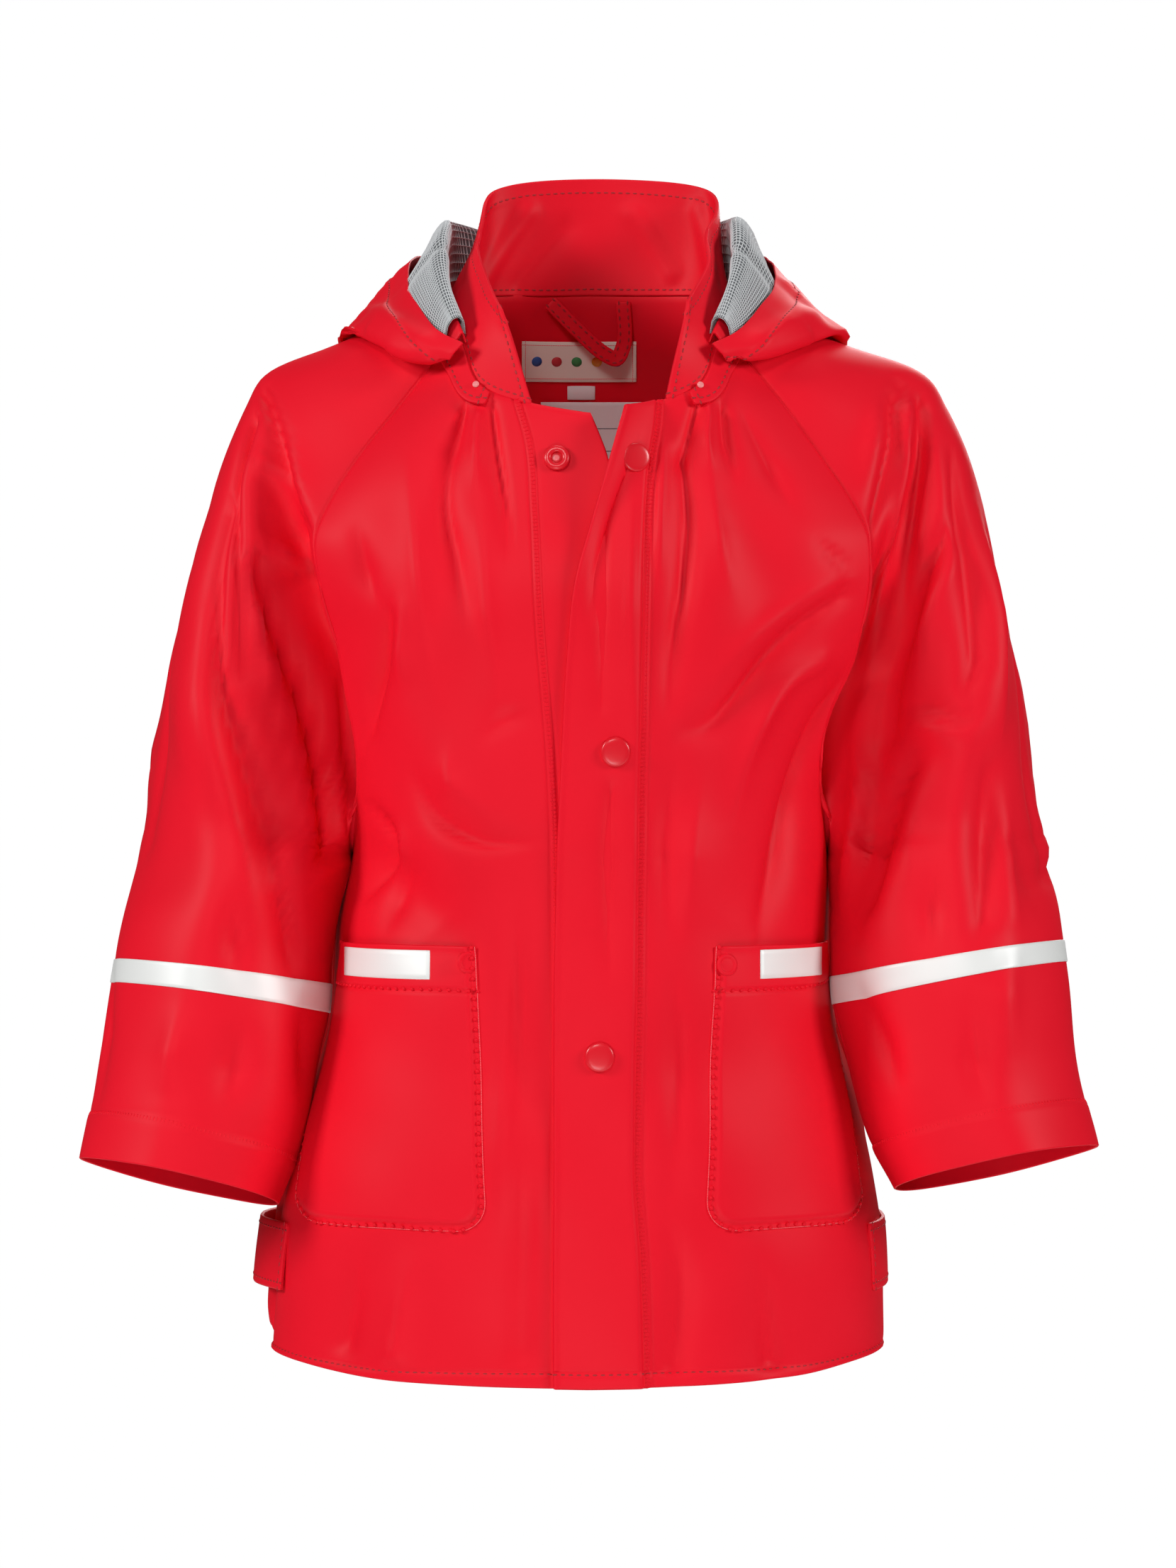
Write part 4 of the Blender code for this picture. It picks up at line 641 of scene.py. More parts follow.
# Profiles of the snap parts: radius and height.
CAP = [(6.0, 0.0), (6.05, 0.8), (5.6, 1.5), (4.4, 1.9), (2.4, 2.05), (0.4, 2.1)]
SOCKET_RING = [(2.4, 0.0), (5.4, 0.0), (5.4, 0.8), (4.6, 1.5), (2.8, 1.5), (2.4, 0.9), (2.4, 0.0)]
SOCKET_FLOOR = [(5.0, 0.0), (5.0, 0.35), (0.8, 0.35)]
SMALL_SNAP = [(1.4, 0.0), (1.4, 0.5), (1.0, 0.9), (0.3, 1.0)]
# How far they stand out from their cloth. The socket stands clear of the creased cloth.
CAP_LIFT, SOCKET_LIFT, SMALL_SNAP_LIFT, MARK_LIFT = 0.05, 0.7, 1.9, -0.05
# The mark pressed into a pocket by a snap beneath: radius and height from the rim inwards, and its place.
COINED = [(4.6, 0.0), (3.9, 0.45), (3.3, 0.5), (2.7, 0.12), (1.9, 0.15), (0.4, 0.2)]
POCKET_MARK = {LEFT: (-49, -278), RIGHT: (57, -279)}
# Plain dots woven on the neck label: their profile, then place across, height and colour number.
DOT = [(2.3, -0.05), (2.3, 0.08), (0.5, 0.1)]
LABEL_DOTS = [(-23, -17, 0), (-14, -17, 1), (-5, -17, 2), (4, -17, 3), (13, -17, 0)]
# The name tag's rules: their heights, their two ends, half their width, and how far in they lie.
NAME_RULES, RULE_ENDS, RULE_HALF, RULE_LIFT = (-45.6, -55.4, -64.5), (-18.5, 22), 0.17, -1.78

# The set: floor, backdrop and lens in millimetres, camera and lamps in metres, powers in watts.
FLOOR_RADIUS, FLOOR_HEIGHT, FLOOR_SIDES, FLOOR_FADE = 2600.0, -1060.0, 96, (0.25, 0.95)
CAMERA_PLACE, CAMERA_LENS, CAMERA_SENSOR = (0, -1.8, -0.205), 96.05, 36
LAMPS_AIM = (0, 0, -0.2)
WORLD_STRENGTH, BACKDROP_STRENGTH, BACKDROP_RADIUS = 0.06, 1.0, 6000.0
LAMPS = [
    # name, place, size, power
    ("key", (-0.5, -2.1, 1.1), 0.5, 14),
    ("left", (-2.0, -1.0, 0.8), 0.6, 31),
    ("right", (2.0, -1.0, 0.6), 0.6, 28),
    ("low", (-0.15, -1.3, -0.85), 0.5, 4.8),
    ("top", (0.1, 0.2, 1.7), 1.0, 7.5),
    ("behind", (0.4, 2.1, 0.8), 1.2, 30),
]


def smooth(places, values, at, steady=False):
    """Values at the places asked for, on a smooth curve through the rows.

    A steady curve doesn't swing past its rows.
    """
    places = np.asarray(places, float)
    values = np.asarray(values, float)
    at = np.clip(np.asarray(at, float), places[0], places[-1])
    spans = np.diff(places)
    wide = spans.reshape((-1,) + (1,) * (values.ndim - 1))
    slopes = np.diff(values, axis=0) / wide
    inner = (wide[1:] * slopes[:-1] + wide[:-1] * slopes[1:]) / (wide[1:] + wide[:-1])
    if steady:
        limit = 3 * np.minimum(abs(slopes[1:]), abs(slopes[:-1]))
        inner = np.where(slopes[1:] * slopes[:-1] > 0, np.clip(inner, -limit, limit), 0)
    tangents = np.concatenate([slopes[:1], inner, slopes[-1:]])
    low = np.clip(np.searchsorted(places, at, side="right") - 1, 0, len(spans) - 1)
    part = ((at - places[low]) / spans[low]).reshape(at.shape + (1,) * (values.ndim - 1))
    span = wide[low]
    start, end = values[low], values[low + 1]
    bend = (1 - part) * tangents[low] * span - part * tangents[low + 1] * span
    ease = part * part * (3 - 2 * part)
    straight = start * (1 - ease) + end * ease
    return straight + part * (1 - part) * bend


def column(rows, index):
    """One column of a table."""
    return [row[index] for row in rows]


def unit(vectors):
    """The vectors at length 1."""
    return vectors / np.maximum(np.linalg.norm(vectors, axis=-1, keepdims=True), TINY)


def bump(distance, height, width):
    """A rounded ridge, or a groove if its height is below 0."""
    return height * np.exp(-(distance / width) ** 2)


def by_first(rows, at):
    """The rows' other columns at the places asked for in their first column."""
    return smooth(column(rows, 0), [row[1:] for row in rows], at, steady=True)


def torso(angle, height):
    """A point on the torso: angle from the centre front, positive to the right."""
    angle, height = np.broadcast_arrays(np.asarray(angle, float), np.asarray(height, float))
    size = by_first(TORSO, height)
    sine, cosine = np.sin(np.radians(angle)), np.cos(np.radians(angle))
    half = np.where(sine < 0, size[..., 0], size[..., 1])
    depth = np.where(cosine > 0, size[..., 2], size[..., 3])
    power = 2 / SECTION_POWER
    x = np.sign(sine) * half * np.abs(sine) ** power
    y = -np.sign(cosine) * depth * np.abs(cosine) ** power
    return np.stack([x, y, height], axis=-1)


def angle_at(x, height):
    """The torso angle at the front whose point lies x to the right."""
    size = by_first(TORSO, height)
    half = np.where(np.asarray(x) < 0, size[..., 0], size[..., 1])
    share = np.clip(np.abs(x) / half, 0, 1)
    return np.sign(x) * np.degrees(np.arcsin(share ** (SECTION_POWER / 2)))


def neck_height(angle):
    """The neckline's height at an angle."""
    return by_first(NECKLINE, np.abs(angle))[..., 0]


def side_edge(level, back):
    """Height and angle of a panel's side: level 0 is the hem, 1 the underarm and 2 the neck."""
    level = np.asarray(level, float)
    seam = by_first(RAGLAN, np.clip(2 - level, 0, 1))
    raglan_height, raglan_angle = (seam[..., 2], seam[..., 3]) if back else (seam[..., 0], seam[..., 1])
    height = HEM_SIDE + (UNDERARM - HEM_SIDE) * np.clip(level, 0, 1)
    cut = by_first(VENT_CORNER, height)[..., 0]
    angle = 90 + cut if back else 90 - cut
    above = level > 1
    return np.where(above, raglan_height, height), np.where(above, raglan_angle, angle)


def row_height(level, angle, back):
    """Height of a panel's row at an angle: level at the side, following the neckline at the top."""
    side_height, side_angle = side_edge(level, back)
    middle = np.interp(side_height, *zip(*(BACK_ROWS if back else FRONT_ROWS)))
    seam, centre = (BACK_SEAM_ANGLE, 180) if back else (FRONT_SEAM_ANGLE, 0)
    share = (centre - np.abs(angle)) / (centre - side_angle)
    low, high = neck_height(seam), neck_height(centre)
    shape = (neck_height(centre + (seam - centre) * share) - low) / (high - low)
    return side_height + (middle - side_height) * shape


def line_angle(level, line):
    """Angle at which a placket line crosses a front row, found by coming closer six times."""
    angle = np.zeros_like(level)
    for _ in range(6):
        height = row_height(level, angle, False)
        angle = angle_at(by_first(line, height)[..., 0], height)
    return angle


def level_at(height):
    """The level of a row whose side lies at a height below the underarm."""
    return (height - HEM_SIDE) / (UNDERARM - HEM_SIDE)


def band_grid(side, levels, shares):
    """A placket band from its seam to its free edge."""
    seam = line_angle(levels, LEFT_SEAM if side == LEFT else RIGHT_SEAM)
    edge = line_angle(levels, UNDERLAP_EDGE if side == LEFT else OVERLAP_EDGE)
    angle = np.outer(seam, 1 - shares) + np.outer(edge, shares)
    return torso(angle, row_height(levels[:, None], angle, False))


def back_grid(levels, shares):
    """The back panel from its left edge to its right edge."""
    _, edge = side_edge(levels, True)
    angle = np.outer(edge, 1 - shares) + np.outer(360 - edge, shares)
    mirrored = np.where(angle > 180, 360 - angle, angle)
    height = row_height(levels[:, None], mirrored, True)
    return torso(-angle, height)


def raglan_points(side, place):
    """The points of the front and of the back raglan seam at a place."""
    seam = by_first(RAGLAN, place)
    return torso(side * seam[1], seam[0]), torso(side * seam[3], seam[2])


def ring_stations(side):
    """The seven stations of every tabled sleeve ring, from the front edge round to the back edge."""
    rows = [(0.0, torso(side * NECK_STATIONS, neck_height(NECK_STATIONS)))]
    flip = np.array([side, 1, 1])
    for (place, *outer), (_, front_step, back_step) in zip(UPPER_SLEEVE, SLEEVE_CREASE):
        spare = np.interp(place, *zip(*RIGHT_SPARE)) if side == RIGHT else 0
        shoulder, front, back = (np.array(outer, float) + np.outer(SPARE_SHARES, (spare, 0, 0))) * flip
        front_edge, back_edge = raglan_points(side, place)
        rows.append((place, np.array([front_edge, front_edge + front_step * flip, front, shoulder, back,
                                      back_edge + back_step * flip, back_edge])))
    turn = np.radians(STATION_ANGLES)
    out_share, across = (1 - np.cos(turn)) / 2, -np.sin(turn)
    for place, out, high, inner, low, depth, half_depth, rise in LOWER_SLEEVE[side]:
        x = side * (inner + (out - inner) * out_share)
        z = low + (high - low) * out_share - rise * across
        rows.append((place, np.stack([x, depth + half_depth * across, z], axis=-1)))
    return rows


def sleeve_grid(side, places, around):
    """Sleeve points: a ring for each place, from the front raglan seam round to the back one."""
    rows = ring_stations(side)
    stations = smooth(column(rows, 0), column(rows, 1), places)
    where = [-STATION_PLACES[1], *STATION_PLACES, 1 + STATION_PLACES[1]]
    grid = []
    for place, ring in zip(places, stations):
        if place <= 1:
            ring[0], ring[-1] = raglan_points(side, place)
        closed = np.clip((place - OPEN_TO) / (1 - OPEN_TO), 0, 1)
        before = (1 - closed) * (2 * ring[0] - ring[1]) + closed * ring[-2]
        after = (1 - closed) * (2 * ring[-1] - ring[-2]) + closed * ring[1]
        grid.append(smooth(where, np.vstack([before, ring, after]), around))
    return np.array(grid)


def welded_normals(grids, outwards):
    """A normal for each point, shared by all grids with a point there, and how well they agree."""
    points = np.concatenate([grid.reshape(-1, 3) for grid in grids])
    _, group = np.unique(np.round(points, 2), axis=0, return_inverse=True)
    group = group.reshape(-1)
    sizes = [grid.shape[0] * grid.shape[1] for grid in grids]
    ids_of = [ids.reshape(grid.shape[:2]) for ids, grid in zip(np.split(group, np.cumsum(sizes)[:-1]), grids)]
    totals = np.zeros((group.max() + 1, 3))
    weights = np.zeros(group.max() + 1)
    for grid, away, ids in zip(grids, outwards, ids_of):
        faces = np.cross(grid[1:, 1:] - grid[:-1, :-1], grid[1:, :-1] - grid[:-1, 1:])
        if np.sum(faces * np.broadcast_to(away, grid.shape)[:-1, :-1]) < 0:
            faces = -faces
        faces = unit(faces).reshape(-1, 3)
        for corner in (ids[:-1, :-1], ids[1:, :-1], ids[:-1, 1:], ids[1:, 1:]):
            np.add.at(totals, corner.reshape(-1), faces)
            np.add.at(weights, corner.reshape(-1), 1)
    normals = unit(totals)
    agreement = np.linalg.norm(totals, axis=-1) / np.maximum(weights, TINY)
    return [(normals[ids], agreement[ids]) for ids in ids_of]


def fold_height(points, normals):
    """How far the cloth is moved out at each point by the folds, which are a third as deep at their ends."""
    total = np.zeros(points.shape[:-1])
    place = points[..., [0, 2]]
    for face, x0, z0, x1, z1, width, depth in FOLDS:
        start, end = np.array([x0, z0]), np.array([x1, z1])
        along = end - start
        share = np.clip((place - start) @ along / (along @ along), 0, 1)
        away = np.linalg.norm(place - (start + share[..., None] * along), axis=-1)
        taper = FOLD_ENDS + (1 - FOLD_ENDS) * np.sin(np.pi * share)
        facing = np.clip(normals[..., 1] * face * FACING_GAIN, 0, 1)
        total += taper * facing * bump(away, depth, width)
    return total


def hood_grid(places, shares):
    """Hood points: a section from the neck seam to the face edge for each place round the neck."""
    sections = np.array(HOOD, float)
    mirrored = np.clip(np.where(places > 6, 12 - places, places), 0, 6)
    found = smooth(np.arange(len(sections)), sections, mirrored)
    side = np.where(places > 6, RIGHT, LEFT)
    shift = np.interp(mirrored, *zip(*HOOD_SHIFT))
    grid = []
    for section, sign, across in zip(found, side, shift):
        line = smooth(HOOD_SHARES, section, shares)
        grid.append(line * (sign, 1, 1) + (across, 0, 0))
    return np.array(grid)


def graded(length, step):
    """Distances from 0 to the length, closer together at both ends."""
    low, high = EDGE_STEPS, length - EDGE_STEPS[::-1]
    count = max(2, int(round((high[0] - low[-1]) / step)) + 1)
    return np.concatenate([low, np.linspace(low[-1], high[0], count)[1:-1], high])


def column_shares(kind):
    """The shares of its width at which a kind of piece has columns."""
    width, step = COLUMNS[kind]
    return graded(width, step) / width


def front_grid(side, levels, shares):
    """A front panel from its side edge to its placket seam."""
    _, edge = side_edge(levels, False)
    seam = line_angle(levels, LEFT_SEAM if side == LEFT else RIGHT_SEAM)
    angle = np.outer(side * edge, 1 - shares) + np.outer(seam, shares)
    return torso(angle, row_height(levels[:, None], angle, False))


def along(grid, axis, last=False):
    """Each point's distance along the grid from its first row (axis 0) or column (axis 1), or its last."""
    steps = np.linalg.norm(np.diff(grid, axis=axis), axis=-1)
    total = np.cumsum(steps, axis=axis)
    start = np.zeros_like(np.take(total, [0], axis=axis))
    distance = np.concatenate([start, total], axis=axis)
    return np.take(distance, [-1], axis=axis) - distance if last else distance


def distance_to(points, line):
    """How far each point is from the nearest point of a line."""
    flat = points.reshape(-1, points.shape[-1])
    nearest = np.full(len(flat), FAR)
    for mark in line.reshape(-1, points.shape[-1]):
        nearest = np.minimum(nearest, np.sum((flat - mark) ** 2, axis=1))
    return np.sqrt(nearest).reshape(points.shape[:-1])


def ease(value):
    """A smooth rise from 0 to 1."""
    value = np.clip(value, 0, 1)
    return value * value * (3 - 2 * value)


def fold_shape(distance):
    """A fold across its line, in its own half-widths: a narrow crest between long flat sides."""
    return np.exp((FOLD_CREST - np.sqrt(distance ** 2 + FOLD_CREST ** 2)) / FOLD_SIDE)


def nearest_on(place, path):
    """For each place: how far off the path it is, at what share of the path, and on which hand of it."""
    best = np.full(place.shape[:-1], FAR)
    share, hand = np.zeros_like(best), np.zeros_like(best)
    for number, (start, step) in enumerate(zip(path, np.diff(path, axis=0))):
        part = np.clip((place - start) @ step / (step @ step), 0, 1)
        offset = place - (start + part[..., None] * step)
        away = np.linalg.norm(offset, axis=-1)
        closer = away < best
        best = np.where(closer, away, best)
        share = np.where(closer, (number + part) / (len(path) - 1), share)
        hand = np.where(closer, np.sign(step[0] * offset[..., 1] - step[1] * offset[..., 0]), hand)
    return best, share, hand


def crease_height(points, normals, part):
    """How far the cloth is moved out at each point by the piece's creases."""
    total = np.zeros(points.shape[:-1])
    gain, narrowing = SLEEVE_CREASES if part.startswith("sleeve") else BODY_CREASES
    for piece, face in [key for key in CREASES if key[0] == part]:
        across, up, axis, sign = FACES[face]
        place = points[..., [across, up]]
        facing = np.clip(normals[..., axis] * sign * FACING_GAIN, 0, 1)
        for line, widths, lean, depths in CREASES[piece, face]:
            count = len(line)
            path = smooth(np.arange(count), line, np.linspace(0, count - 1, 6 * count))
            away, share, hand = nearest_on(place, path)
            half = np.interp(share, (0, 1), widths)
            depth = gain * np.interp(share, (0, 0.5, 1), depths)
            depth = STEEPEST * half * np.tanh(depth / (STEEPEST * half))
            total += depth * facing * fold_shape(away / (narrowing * half * (1 + lean * hand)))
    return total


def uneven_height(points):
    """Slight random unevenness that every piece of the cloth has."""
    chance = np.random.default_rng(UNEVEN_SEED)
    total = np.zeros(points.shape[:-1])
    for _ in range(UNEVEN_COUNT):
        direction = unit(chance.normal(size=3))
        length = chance.uniform(*UNEVEN_WAVES)
        phase = chance.uniform(0, 2 * np.pi)
        total += UNEVEN * np.sin(2 * np.pi * (points @ direction) / length + phase)
    return total


def raised(grid, normals, height):
    """The grid moved out along its normals."""
    return grid + normals * np.asarray(height, float)[..., None]


def line_creases(grid, normals, creases, rows_at, columns_at):
    """A grid with creases along straight lines between its own rows and columns."""
    total = np.zeros(grid.shape[:2])
    share = np.linspace(0, 1, LINE_POINTS)
    for row0, column0, row1, column1, width, depth in creases:
        rows = np.interp(row0 + (row1 - row0) * share, rows_at, np.arange(len(rows_at)))
        columns = np.interp(column0 + (column1 - column0) * share, columns_at, np.arange(len(columns_at)))
        total += bump(distance_to(grid, sample(grid, rows, columns)), depth, width)
    return raised(grid, normals, total)


def sample(grid, rows, columns):
    """Points of a grid at pairs of fractional rows and columns, on its faces."""
    rows = np.clip(np.asarray(rows, float), 0, grid.shape[0] - 1)
    columns = np.clip(np.asarray(columns, float), 0, grid.shape[1] - 1)
    low_row = np.clip(rows.astype(int), 0, grid.shape[0] - 2)
    low_column = np.clip(columns.astype(int), 0, grid.shape[1] - 2)
    down, across = (rows - low_row)[..., None], (columns - low_column)[..., None]
    top = grid[low_row, low_column] * (1 - across) + grid[low_row, low_column + 1] * across
    bottom = grid[low_row + 1, low_column] * (1 - across) + grid[low_row + 1, low_column + 1] * across
    return top * (1 - down) + bottom * down


def locate(grid, targets):
    """The fractional rows and columns at which a grid passes the places across and heights asked for.

    It starts at the nearest of the coarse points and steps closer along the grid's own slopes.
    """
    targets = np.asarray(targets, float)
    flat = targets.reshape(-1, 2)
    coarse = grid[::COARSE, ::COARSE][..., [0, 2]]
    spots = coarse.reshape(-1, 2)
    nearest = np.array([np.argmin(np.sum((place - spots) ** 2, axis=-1)) for place in flat])
    rows, columns = [float(COARSE) * k for k in np.unravel_index(nearest, coarse.shape[:2])]
    for _ in range(LOCATE_TURNS):
        miss = flat - sample(grid, rows, columns)[..., [0, 2]]
        down = (sample(grid, rows + 0.5, columns) - sample(grid, rows - 0.5, columns))[..., [0, 2]]
        across = (sample(grid, rows, columns + 0.5) - sample(grid, rows, columns - 0.5))[..., [0, 2]]
        size = down[:, 0] * across[:, 1] - down[:, 1] * across[:, 0]
        size = np.where(abs(size) < FLAT, FLAT, size)
        step_row = (miss[:, 0] * across[:, 1] - miss[:, 1] * across[:, 0]) / size
        step_column = (down[:, 0] * miss[:, 1] - down[:, 1] * miss[:, 0]) / size
        step_row, step_column = np.clip([step_row, step_column], -LONGEST_STEP, LONGEST_STEP) * STEP_SHARE
        rows = np.clip(rows + step_row, 0, grid.shape[0] - 1)
        columns = np.clip(columns + step_column, 0, grid.shape[1] - 1)
    return rows.reshape(targets.shape[:-1]), columns.reshape(targets.shape[:-1])


def sampled(panel, rows, columns):
    """Points of a panel at pairs of fractional rows and columns, and the directions out of it."""
    grid, normals = panel
    return sample(grid, rows, columns), unit(sample(normals, rows, columns))


def on_panel(panel, targets, lift=0.0):
    """Points on a panel at places across and heights, moved out by the lift, and the normals there."""
    return lifted(sampled(panel, *locate(panel[0], targets)), lift)


def spot_on(panel, place, lift=0.0):
    """One such point and its normal."""
    points, out = on_panel(panel, [place], lift)
    return points[0], out[0]


def quads(rows, columns):
    """The faces over a grid."""
    index = np.arange(rows * columns).reshape(rows, columns)
    return np.stack([index[:-1, :-1], index[:-1, 1:], index[1:, 1:], index[1:, :-1]], axis=-1).reshape(-1, 4)


def add_mesh(name, points, faces, finish, edges=()):
    """An object of the points, in metres."""
    mesh = bpy.data.meshes.new(name)
    mesh.from_pydata((np.reshape(points, (-1, 3)) * MM).tolist(), edges, faces)
    mesh.update()
    mesh.shade_smooth()
    made = bpy.data.objects.new(name, mesh)
    if finish:
        mesh.materials.append(finish)
    bpy.context.scene.collection.objects.link(made)
    return made


def wall(name, points, normals, faces, finish, lift=0.0, thickness=SHELL, rim=PLAIN_RIM):
    """A closed shell: the faces moved out by the lift, the same faces deeper, and a rounded rim."""
    used, faces = np.unique(faces, return_inverse=True)
    faces = faces.reshape(-1, 4)
    points, normals = points.reshape(-1, 3)[used], normals.reshape(-1, 3)[used]
    corners = points[faces]
    turn = np.cross(corners[:, 2] - corners[:, 0], corners[:, 3] - corners[:, 1])
    if np.sum(turn * normals[faces[:, 0]]) < 0:
        faces = faces[:, ::-1]
    count = len(points)
    outer = points + normals * lift
    start, end = faces.reshape(-1), np.roll(faces, -1, axis=1).reshape(-1)
    free = ~np.isin(start * count + end, end * count + start)
    start, end = start[free], end[free]
    outwards = np.cross(outer[end] - outer[start], normals[start])
    tangents = np.zeros_like(outer)
    np.add.at(tangents, start, outwards)
    np.add.at(tangents, end, outwards)
    edge_points = np.unique(start)
    tangent = unit(tangents[edge_points])
    position = np.zeros(count, int)
    position[edge_points] = np.arange(len(edge_points))
    layers = [outer, outer - normals * thickness]
    chain = [lambda spot: spot]
    for number, (depth, bulge) in enumerate(rim):
        layers.append(outer[edge_points] + thickness * (tangent * bulge - normals[edge_points] * depth))
        base = 2 * count + number * len(edge_points)
        chain.append(lambda spot, base=base: base + position[spot])
    chain.append(lambda spot: spot + count)
    strips = [np.stack([first(end), first(start), then(start), then(end)], axis=-1)
              for first, then in zip(chain, chain[1:])]
    everything = np.vstack([faces, faces[:, ::-1] + count, *strips])
    return add_mesh(name, np.vstack(layers), everything.tolist(), finish)


def panel_wall(name, panel, finish, lift=0.0, thickness=SHELL, rim=PLAIN_RIM, closed=None):
    """A shell on a whole panel. One that closes round joins its last column to its first from a row on."""
    grid, normals = panel
    rows, columns = grid.shape[:2]
    index = np.arange(rows * columns).reshape(rows, columns)
    if closed is not None:
        index[closed:, -1] = index[closed:, 0]
    faces = index.reshape(-1)[quads(rows, columns)]
    return wall(name, grid, normals, faces, finish, lift, thickness, rim)


def own_panel(grid, away):
    """A grid with its own normals."""
    return grid, welded_normals([grid], [away])[0][0]


def seam_shape(distance):
    """A plain seam: the cloth sinks into it."""
    return bump(distance, *SEAM)


def cover_shape(distance):
    """A cover-stitched seam: a flat band, raised, with a groove along each side."""
    band = COVER_RISE * (1 - ease((distance - COVER_HALF + COVER_IN) / COVER_FALL))
    return band + bump(distance - COVER_HALF - COVER_OUT, *COVER_GROOVE)


def fold_step(distance, row):
    """A turned hem, thicker as far as its stitch row, with a groove at the row."""
    return HEM_STEP * (1 - ease((distance - row) / HEM_FALL)) + bump(distance - row - HEM_OUT, *HEM_GROOVE)


def off_raglans(grid, raglans):
    """How far each point is clear of the raglan seams, from 0 on them to 1."""
    return 1 - bump(distance_to(grid, raglans), 1, CREASE_FADE)


def rested(name, grid, raglans):
    """A body panel or sleeve shaped by the two resting against each other."""
    moved = grid.copy()
    clear = off_raglans(grid, raglans)
    for side, word in SIDES:
        if name.endswith("right" if word == "left" else "left"):
            continue
        sleeve, body = np.moveaxis(by_first(RESTING[side], grid[..., 2]), -1, 0)
        if name.startswith("sleeve"):
            inwards = ease(side * (grid.mean(axis=1, keepdims=True) - grid)[..., 0] / SLEEVE_FACE)
            amount = -sleeve * bump(grid[..., 1] - RESTING_DEPTHS[0], 1, RESTING_WIDTH) * inwards
        else:
            start, end = BODY_FACE
            outwards = ease((side * grid[..., 0] - start) / (end - start))
            amount = body * bump(grid[..., 1] - RESTING_DEPTHS[1], 1, RESTING_WIDTH) * outwards
        moved[..., 0] += side * amount * clear
    return moved


def garment_grids():
    """The plain points of the body panels and sleeves, and where their rows and columns lie."""
    rest = np.arange(HEM_STEPS[-1] + ROW_STEP, UNDERARM - HEM_SIDE - 1, ROW_STEP)
    above = np.linspace(1, 0, RAGLAN_ROWS)
    levels = np.concatenate([level_at(HEM_SIDE + np.concatenate([HEM_STEPS, rest])), 2 - above])
    cuff = SLEEVE_BELOW - CUFF_STEPS[::-1]
    lower = np.concatenate([np.arange(ROW_STEP, cuff[0] - 1, ROW_STEP), cuff])
    places = np.concatenate([above[::-1], 1 + lower / SLEEVE_BELOW])
    shares = column_shares("front")
    grids = {
        "front_left": front_grid(LEFT, levels, shares),
        "front_right": front_grid(RIGHT, levels, shares),
        "placket_under": band_grid(LEFT, levels, column_shares("placket_under")),
        "placket_over": band_grid(RIGHT, levels, column_shares("placket_over")),
        "back": back_grid(levels, column_shares("back")),
        "sleeve_left": sleeve_grid(LEFT, places, column_shares("sleeve")),
        "sleeve_right": sleeve_grid(RIGHT, places, column_shares("sleeve")),
    }
    return grids, places, (levels, shares)


def seams_of(name, grid):
    """How far the seams and the hem move a piece's points out."""
    first, last = along(grid, 1), along(grid, 1, last=True)
    if name in FRONTS:
        height = seam_shape(first) + cover_shape(last)
    elif name.startswith("placket"):
        height = cover_shape(first)
    else:
        height = seam_shape(first) + seam_shape(last)
    sleeve = name in SLEEVES
    return height + fold_step(along(grid, 0, last=sleeve), CUFF_ROW if sleeve else HEM_ROW)


def make_garment():
    """The points and normals of each body panel and sleeve, creased and with its seams shaped."""
    grids, places, drawn_at = garment_grids()
    raglans = np.concatenate([grids[name][:RAGLAN_ROWS, end] for name in SLEEVES for end in (0, -1)])
    grids = {name: rested(name, grid, raglans) for name, grid in grids.items()}
    body = [name for name in grids if name not in SLEEVES]
    away = {name: grid * (1, 1, 0) if name in body else grid - grid.mean(axis=1, keepdims=True)
            for name, grid in grids.items()}

    def welded(names):
        """The normals of some of the pieces, shared where they meet, and how well they agree."""
        found = welded_normals([grids[name] for name in names], [away[name] for name in names])
        return dict(zip(names, found))

    for name, (normals, agreement) in welded(list(grids)).items():
        grid = grids[name]
        height = (fold_height(grid, normals) + uneven_height(grid)) * np.clip(agreement, 0, 1) ** SHARP_POWER
        height += crease_height(grid, normals, "body" if name in body else name) * off_raglans(grid, raglans)
        if name == "placket_over":
            height += crease_height(grid, normals, "over")
        grids[name] = raised(grid, normals, height)
    for name, (normals, agreement) in welded(list(grids)).items():
        height = seams_of(name, grids[name]) * np.clip(agreement, 0, 1) ** SHARP_POWER
        grids[name] = raised(grids[name], normals, height)
    together = welded(list(grids))
    panels = {}
    for group in (body, SLEEVES[:1], SLEEVES[1:]):
        for name, (normals, _) in welded(group).items():
            joint, agreement = together[name]
            panels[name] = grids[name], np.where((agreement > SHARP)[..., None], joint, normals)
    return panels, places, drawn_at


def make_overlap(panel):
    """The overlap: above the underlap from just past its seam, its free edge sprung forward."""
    grid, _ = panel
    reach = along(grid, 1)
    moved = grid.copy()
    moved[..., 1] -= by_first(OVERLAP_CURL, grid[..., 2])[..., 0] * (reach / reach[:, -1:]) ** 1.5
    moved, normals = own_panel(moved, grid * (1, 1, 0))
    lift = OVERLAP_LIFT * ease((reach - COVER_HALF) / OVERLAP_CLIMB)
    lift += bump(reach - reach[:, -1:], *OVERLAP_LIP)
    return raised(moved, normals, lift), normals


